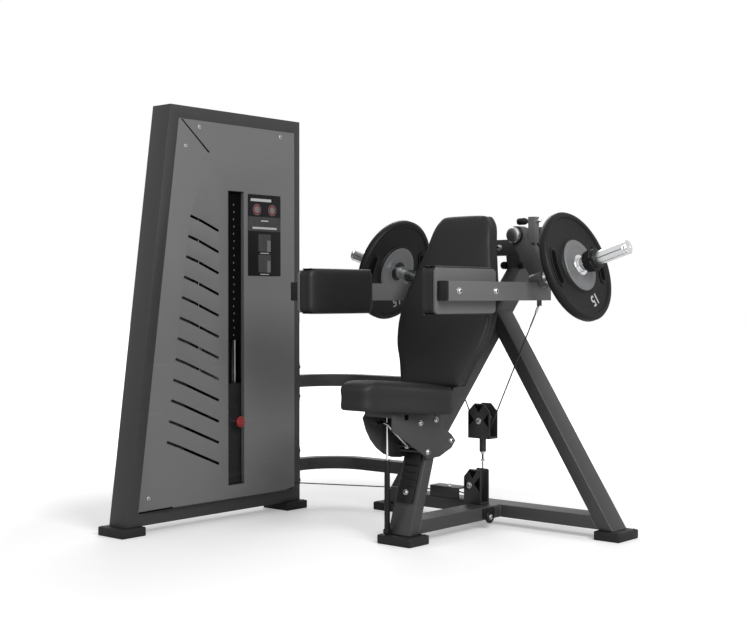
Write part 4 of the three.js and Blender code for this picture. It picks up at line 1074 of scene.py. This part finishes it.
def make_slot_trim():
    place = on_plane(mm(0, FACE_Y - SLOT_OUT, 0), X_AXIS, Z_AXIS, Y_AXIS)
    for i, (low, high, material) in enumerate(SLOT_EDGES):
        attach(slab(f"slot_edge_{i}", rectangle(low, high), SLOT_DEEP, place, material, SLOT_EDGE), "frame")
    # A dark sheet behind the slot above the stack: painted shade inside the tower
    points = rectangle((SLOT_LEFT, SLOT_BACK_LOW), (SLOT_RIGHT, SLOT_HIGH))
    place = on_plane(mm(0, SLOT_BACK_Y, 0), X_AXIS, Z_AXIS, Y_AXIS)
    attach(slab("slot_back", points, SLOT_BACK_THICK, place, SHADE_BLACK), "frame")
    for i in range(MARK_COUNT):
        x, z = MARK_X + MARK_SHIFT * (i % 2), MARK_LOW + MARK_STEP * i
        points = rectangle((x, z), (x + MARK_WIDE, z + MARK_TALL))
        mark = slab(f"slot_mark_{i}", points, MARK_THICK, on_front(MARK_Y), HUB_GREY)
        attach(mark, "frame", slot="black_plastic")


# The placard: a dark plate with plain bars and rings. Nothing is written on it. The bars' corners and the
# discs' middles are counted from its low left corner
PLACARD_LEFT, PLACARD_LOW, PLACARD_WIDE, PLACARD_TALL, PLACARD_CORNER = 49, 950, 179, 319, 4
PLACARD_OUT, PLACARD_THICK, PLACARD_EDGE = 0.2, 1.6, 0.4
PLACARD_BARS = (
    ((14, 292), (126, 303), MARKING),
    ((0.5, 176), (178.5, 232), PLACARD_TINT),
    ((70, 214), (110, 219), MARKING),
    ((24, 184), (156, 192), MARKING),
    ((56, 96), (124, 164), PLACARD_TINT),
    ((56, 14), (124, 84), PLACARD_TINT),
    ((104, 96), (122, 140), HUB_GREY),
    ((104, 14), (122, 60), HUB_GREY),
    ((66, 88), (114, 91), MARKING),
    ((66, 5), (114, 8), MARKING),
)
BAR_CORNER, BAR_THICK, BAR_LIFT = 1.2, 0.3, 0.3
PLACARD_DISC_X, PLACARD_DISC_Z = (48, 132), 260
PLACARD_DISC = [(0, 0), (22, 0), (22, 0.4), (0, 0.4)]
PLACARD_RING = [(14, 0), (20, 0), (20, 0.8), (14, 0.8)]


def make_placard():
    corner = Vector((PLACARD_LEFT, PLACARD_LOW))
    back, front = FACE_Y - PLACARD_OUT, FACE_Y - PLACARD_OUT - PLACARD_THICK
    high = corner + Vector((PLACARD_WIDE, PLACARD_TALL))
    outline = rounded_outline(corner, high, PLACARD_CORNER, 5)
    attach(slab("placard_plate", outline, PLACARD_THICK, on_front(back), PLACARD, PLACARD_EDGE), "frame")
    for i, (low, high, material) in enumerate(PLACARD_BARS):
        outline = rounded_outline(corner + Vector(low), corner + Vector(high), BAR_CORNER, 3)
        y = front if material is PLACARD_TINT else front - BAR_LIFT
        bar = slab(f"placard_bar_{i}", outline, BAR_THICK, on_front(y), material)
        attach(bar, "frame", slot="black_plastic")
    for i, x in enumerate(PLACARD_DISC_X):
        place = mm(PLACARD_LEFT + x, front, PLACARD_LOW + PLACARD_DISC_Z)
        for part, profile, material in (("disc", PLACARD_DISC, HUB_GREY), ("ring", PLACARD_RING, MUTED_RED)):
            piece = lathe(f"placard_{part}_{i}", profile, place, -Y_AXIS, material, SMALL_ROUND)
            attach(piece, "frame", slot="black_plastic")


# Guide rods and the selector pin with its knob
GUIDE_RADIUS = 12
KNOB_PROFILE = [(0, 0), (14, 0), (18.5, 1.5), (21, 5), (21, 12), (18, 17), (15, 22), (14, 26), (0, 26)]
SHAFT_SPAN, SHAFT_RADIUS = (25, 110), 4.4


def make_rods():
    for node in ("guide_rod_left", "guide_rod_right"):
        low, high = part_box(node)
        mid = (low + high) / 2
        start, end = Vector((mid.x, mid.y, low.z)), Vector((mid.x, mid.y, high.z))
        attach(turned_rod(node + "_body", start, end, GUIDE_RADIUS, CHROME), "frame", node)
    centre = middle_of("selector_pin")
    origin = Vector((centre.x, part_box("selector_pin")[0].y, centre.z))
    attach(lathe("selector_knob", KNOB_PROFILE, origin, Y_AXIS, RED), "selector_pin", "selector_pin")
    start, end = (origin + Y_AXIS * reach * MM for reach in SHAFT_SPAN)
    attach(turned_rod("selector_shaft", start, end, SHAFT_RADIUS, CHROME), "selector_pin")


# Gas spring and release lever
GAS_FOOT, GAS_ROD_SPAN, GAS_ROD_RADIUS = (-2, 40, 45), (289, 445.8), 4.5
GAS_EYE_PROFILE = [(0, -10), (10.6, -10), (11.2, -9.4), (11.2, 9.4), (10.6, 10), (0, 10)]
GAS_BARREL_PROFILE = [(4.9, 0), (9.4, 0), (10, 1), (10, 240), (9.2, 246), (8, 250), (4.9, 250)]
LEVER_Y, LEVER_ROD_RADIUS = 15, 5
LEVER_PATH = ((81, 338), (44, 366), (7, 394), (-34, 427), (-62, 434))
LEVER_STEPS, LEVER_ROUNDS, LEVER_EASE_SHARE = 6, 3, 0.6
GRIP_PROFILE = [(0, 0), (6, 0), (8.5, 2), (9, 8), (7.5, 18), (8.6, 28), (7, 34), (0, 34)]
GRIP_OFFSET, GRIP_WAY = mm(2, 0, 0.3), Vector((-34, 0, -5))
LEVER_EYE_PROFILE = [(4.4, -8), (8.4, -8), (9, -7.4), (9, 7.4), (8.4, 8), (4.4, 8)]


def make_gas_spring():
    x, y, _ = GAS_FOOT
    foot = mm(*GAS_FOOT)
    eye = lathe("gas_spring_eye", GAS_EYE_PROFILE, foot, Y_AXIS, MOULDED, SMALL_ROUND)
    attach(eye, "gas_cylinder", "gas_cylinder")
    barrel = lathe("gas_spring_barrel", GAS_BARREL_PROFILE, foot, Z_AXIS, MOULDED, SMALL_ROUND)
    attach(barrel, "gas_cylinder")
    start, end = (mm(x, y, z) for z in GAS_ROD_SPAN)
    attach(turned_rod("gas_spring_rod", start, end, GAS_ROD_RADIUS, CHROME), "gas_rod", "gas_rod")


def make_lever():
    points = [mm(x, LEVER_Y, z) for x, z in LEVER_PATH]
    fine = []
    for start, end in zip(points, points[1:]):
        fine += [start.lerp(end, k / LEVER_STEPS) for k in range(LEVER_STEPS)]
    fine.append(points[-1])
    for _ in range(LEVER_ROUNDS):
        inner = range(1, len(fine) - 1)
        eased = [fine[i].lerp((fine[i - 1] + fine[i + 1]) / 2, LEVER_EASE_SHARE) for i in inner]
        fine = [fine[0], *eased, fine[-1]]
    attach(tube("lever_rod", fine, LEVER_ROD_RADIUS, CHROME), "release_lever", "release_lever")
    grip = lathe("lever_grip", GRIP_PROFILE, points[-1] + GRIP_OFFSET, GRIP_WAY, MOULDED, SMALL_ROUND)
    attach(grip, "release_lever")
    attach(lathe("lever_eye", LEVER_EYE_PROFILE, points[0], Y_AXIS, STEEL, SMALL_ROUND), "release_lever")


# Seat carriage and the frame's fittings
CARRIAGE_SIDE, CARRIAGE_NEAR_BOLT, CARRIAGE_BOLTS = 63.2, (231, 352), ((96, 322), (143, 433), (56, 427))
WINDOW_LOW, WINDOW_HIGH, WINDOW_Y, WINDOW_THICK = (-31, 442), (-11, 461), -63.1, 0.5
RACK_BOLT_DEPTH, RACK_BOLT_Z = -9, 180
BEAM_BOLT_X, BEAM_BOLT_Y, BEAM_BOLT_Z = 699.8, (-60, 60), 1060
STOP_X, STOP_Y, STOP_Z = 708, 30, 990
STOP_PROFILE = [(0, 0), (13, 0), (15, 2), (15, 16), (12, 22), (0, 23)]
LUG_X, LUG_Y, LUG_Z = 478, -50.2, 46
LUG_PROFILE = [(0, 0), (22, 0), (24, 2), (24, 9), (22, 11), (0, 11)]
LUG_PLATE_LOW, LUG_PLATE_HIGH, LUG_PLATE_CORNER = (440, 40), (510, 81), 6
LUG_PLATE_THICK, LUG_PLATE_EDGE = 5, 1


def make_seat_fittings():
    points = [mm(x, -CARRIAGE_SIDE, z) for x, z in (CARRIAGE_NEAR_BOLT, *CARRIAGE_BOLTS)]
    bolts("carriage_bolts", "seat", all_facing(points, -Y_AXIS), "carriage")
    points = [mm(x, CARRIAGE_SIDE, z) for x, z in CARRIAGE_BOLTS]
    bolts("carriage_far_bolts", "seat", all_facing(points, Y_AXIS), "carriage")
    # A dark sheet on the carriage's near side: painted shade in its window
    outline = rectangle(WINDOW_LOW, WINDOW_HIGH)
    attach(slab("carriage_window", outline, WINDOW_THICK, on_front(WINDOW_Y), SHADE_BLACK), "seat")
    point = mm(at_post(RACK_BOLT_DEPTH, RACK_BOLT_Z), 0, RACK_BOLT_Z)
    slope = Vector((-math.cos(POST_LEAN), 0, math.sin(POST_LEAN)))
    bolts("rack_bolt", "frame", [(point, slope)], "carriage")


def make_frame_fittings():
    points = [mm(BEAM_BOLT_X, y, BEAM_BOLT_Z) for y in BEAM_BOLT_Y]
    bolts("cross_beam_bolts", "frame", all_facing(points, -X_AXIS), "beam")
    for i, (_, sign) in enumerate(SIDES):
        place = mm(STOP_X, sign * STOP_Y, STOP_Z)
        stop = lathe(f"arm_stop_{i}", STOP_PROFILE, place, Y_AXIS * sign, DISC_RUBBER, SMALL_ROUND)
        attach(stop, "frame", slot="foot")
    place = mm(LUG_X, LUG_Y, LUG_Z)
    attach(lathe("base_lug", LUG_PROFILE, place, -Y_AXIS, MOULDED, SMALL_ROUND), "frame")
    outline = rounded_outline(LUG_PLATE_LOW, LUG_PLATE_HIGH, LUG_PLATE_CORNER, 4)
    plate = slab("base_lug_plate", outline, LUG_PLATE_THICK, on_front(LUG_Y), MOULDED, LUG_PLATE_EDGE)
    attach(plate, "frame")
    top = place - Y_AXIS * LUG_PROFILE[-1][1] * MM
    bolts("base_lug_bolt", "frame", [(top, -Y_AXIS)], "lug")


make_rounded_nodes()
make_foot_screws()
make_discs()
make_cushions()
make_arm_fittings()
make_wheels()
make_arm_ropes()
make_upright_ropes()
make_housing_details()
make_tower_details()
make_rods()
make_gas_spring()
make_lever()
make_seat_fittings()
make_frame_fittings()

# Floor, backdrop and light. The floor glows to the camera alone, more with the distance from the machine
FLOOR_HALF, FLOOR_GREY, FLOOR_ROUGHNESS, FLOOR_SHINE = 30.0, (0.82, 0.82, 0.82, 1), 0.6, 0.1
GLOW_CENTRE, GLOW_BAND, GLOW_RANGE = (0.1, 0.2, 0), (1.3, 2.6), (0.28, 1.0)
SKY_STRENGTH, GLOSSY_SHARE = 0.42, 0.6
LAMPS = (
    ("key", (-1.4, -3.9, 3.0), (0, 0.3, 0.8), 2.2, 185),
    ("side", (-3.8, 0.2, 2.4), (0, 0, 0.8), 2.2, 14),
    ("back", (2.6, 2.8, 3.4), (0.2, 0, 0.9), 2.0, 60),
)


def make_floor():
    mesh = bpy.data.meshes.new("floor")
    corners = rectangle((-FLOOR_HALF, -FLOOR_HALF), (FLOOR_HALF, FLOOR_HALF))
    mesh.from_pydata([(x, y, 0) for x, y in corners], [], [(0, 1, 2, 3)])
    material = bpy.data.materials.new("pale_floor")
    material.use_nodes = True
    tree = material.node_tree
    shader = tree.nodes["Principled BSDF"]
    values = {"Base Color": FLOOR_GREY, "Roughness": FLOOR_ROUGHNESS, "Specular IOR Level": FLOOR_SHINE}
    plug(tree, shader, values)
    place = new_node(tree, "ShaderNodeTexCoord").outputs["Object"]
    far = new_node(tree, "ShaderNodeVectorMath", {0: place, 1: GLOW_CENTRE}, operation="DISTANCE")
    lift = spread(tree, far.outputs["Value"], GLOW_BAND, GLOW_RANGE)
    seen = new_node(tree, "ShaderNodeLightPath").outputs["Is Camera Ray"]
    values = {"Color": WHITE, "Strength": calculate(tree, "MULTIPLY", lift, seen)}
    glow = new_node(tree, "ShaderNodeEmission", values)
    both = new_node(tree, "ShaderNodeAddShader", {0: glow.outputs[0], 1: shader.outputs[0]})
    plug(tree, tree.nodes["Material Output"], {"Surface": both.outputs[0]})
    mesh.materials.append(material)
    in_scene("floor", mesh)


def make_world():
    """Soft light all round, and plain white to the camera and, in part, to glossy metal."""
    world = bpy.data.worlds.new("studio")
    bpy.context.scene.world = world
    world.use_nodes = True
    tree = world.node_tree
    soft = tree.nodes["Background"]
    plug(tree, soft, {"Color": WHITE, "Strength": SKY_STRENGTH})
    white = new_node(tree, "ShaderNodeBackground", {"Color": WHITE, "Strength": 1.0})
    path = new_node(tree, "ShaderNodeLightPath").outputs
    rays = calculate(tree, "MAXIMUM", path["Is Camera Ray"], path["Is Transmission Ray"])
    shown = calculate(tree, "MULTIPLY_ADD", path["Is Glossy Ray"], GLOSSY_SHARE, rays)
    mix = new_node(tree, "ShaderNodeMixShader", {0: shown, 1: soft.outputs[0], 2: white.outputs[0]})
    plug(tree, tree.nodes["World Output"], {"Surface": mix.outputs[0]})


def make_lamps():
    for name, place, target, size, power in LAMPS:
        light = bpy.data.lights.new(name, "AREA")
        light.shape = "SQUARE"
        light.size = size
        light.energy = power
        holder = in_scene(name, light)
        holder.location = place
        holder.rotation_euler = (Vector(target) - Vector(place)).to_track_quat("-Z", "Y").to_euler()


make_floor()
make_world()
make_lamps()
bpy.context.scene.view_settings.view_transform = "Standard"
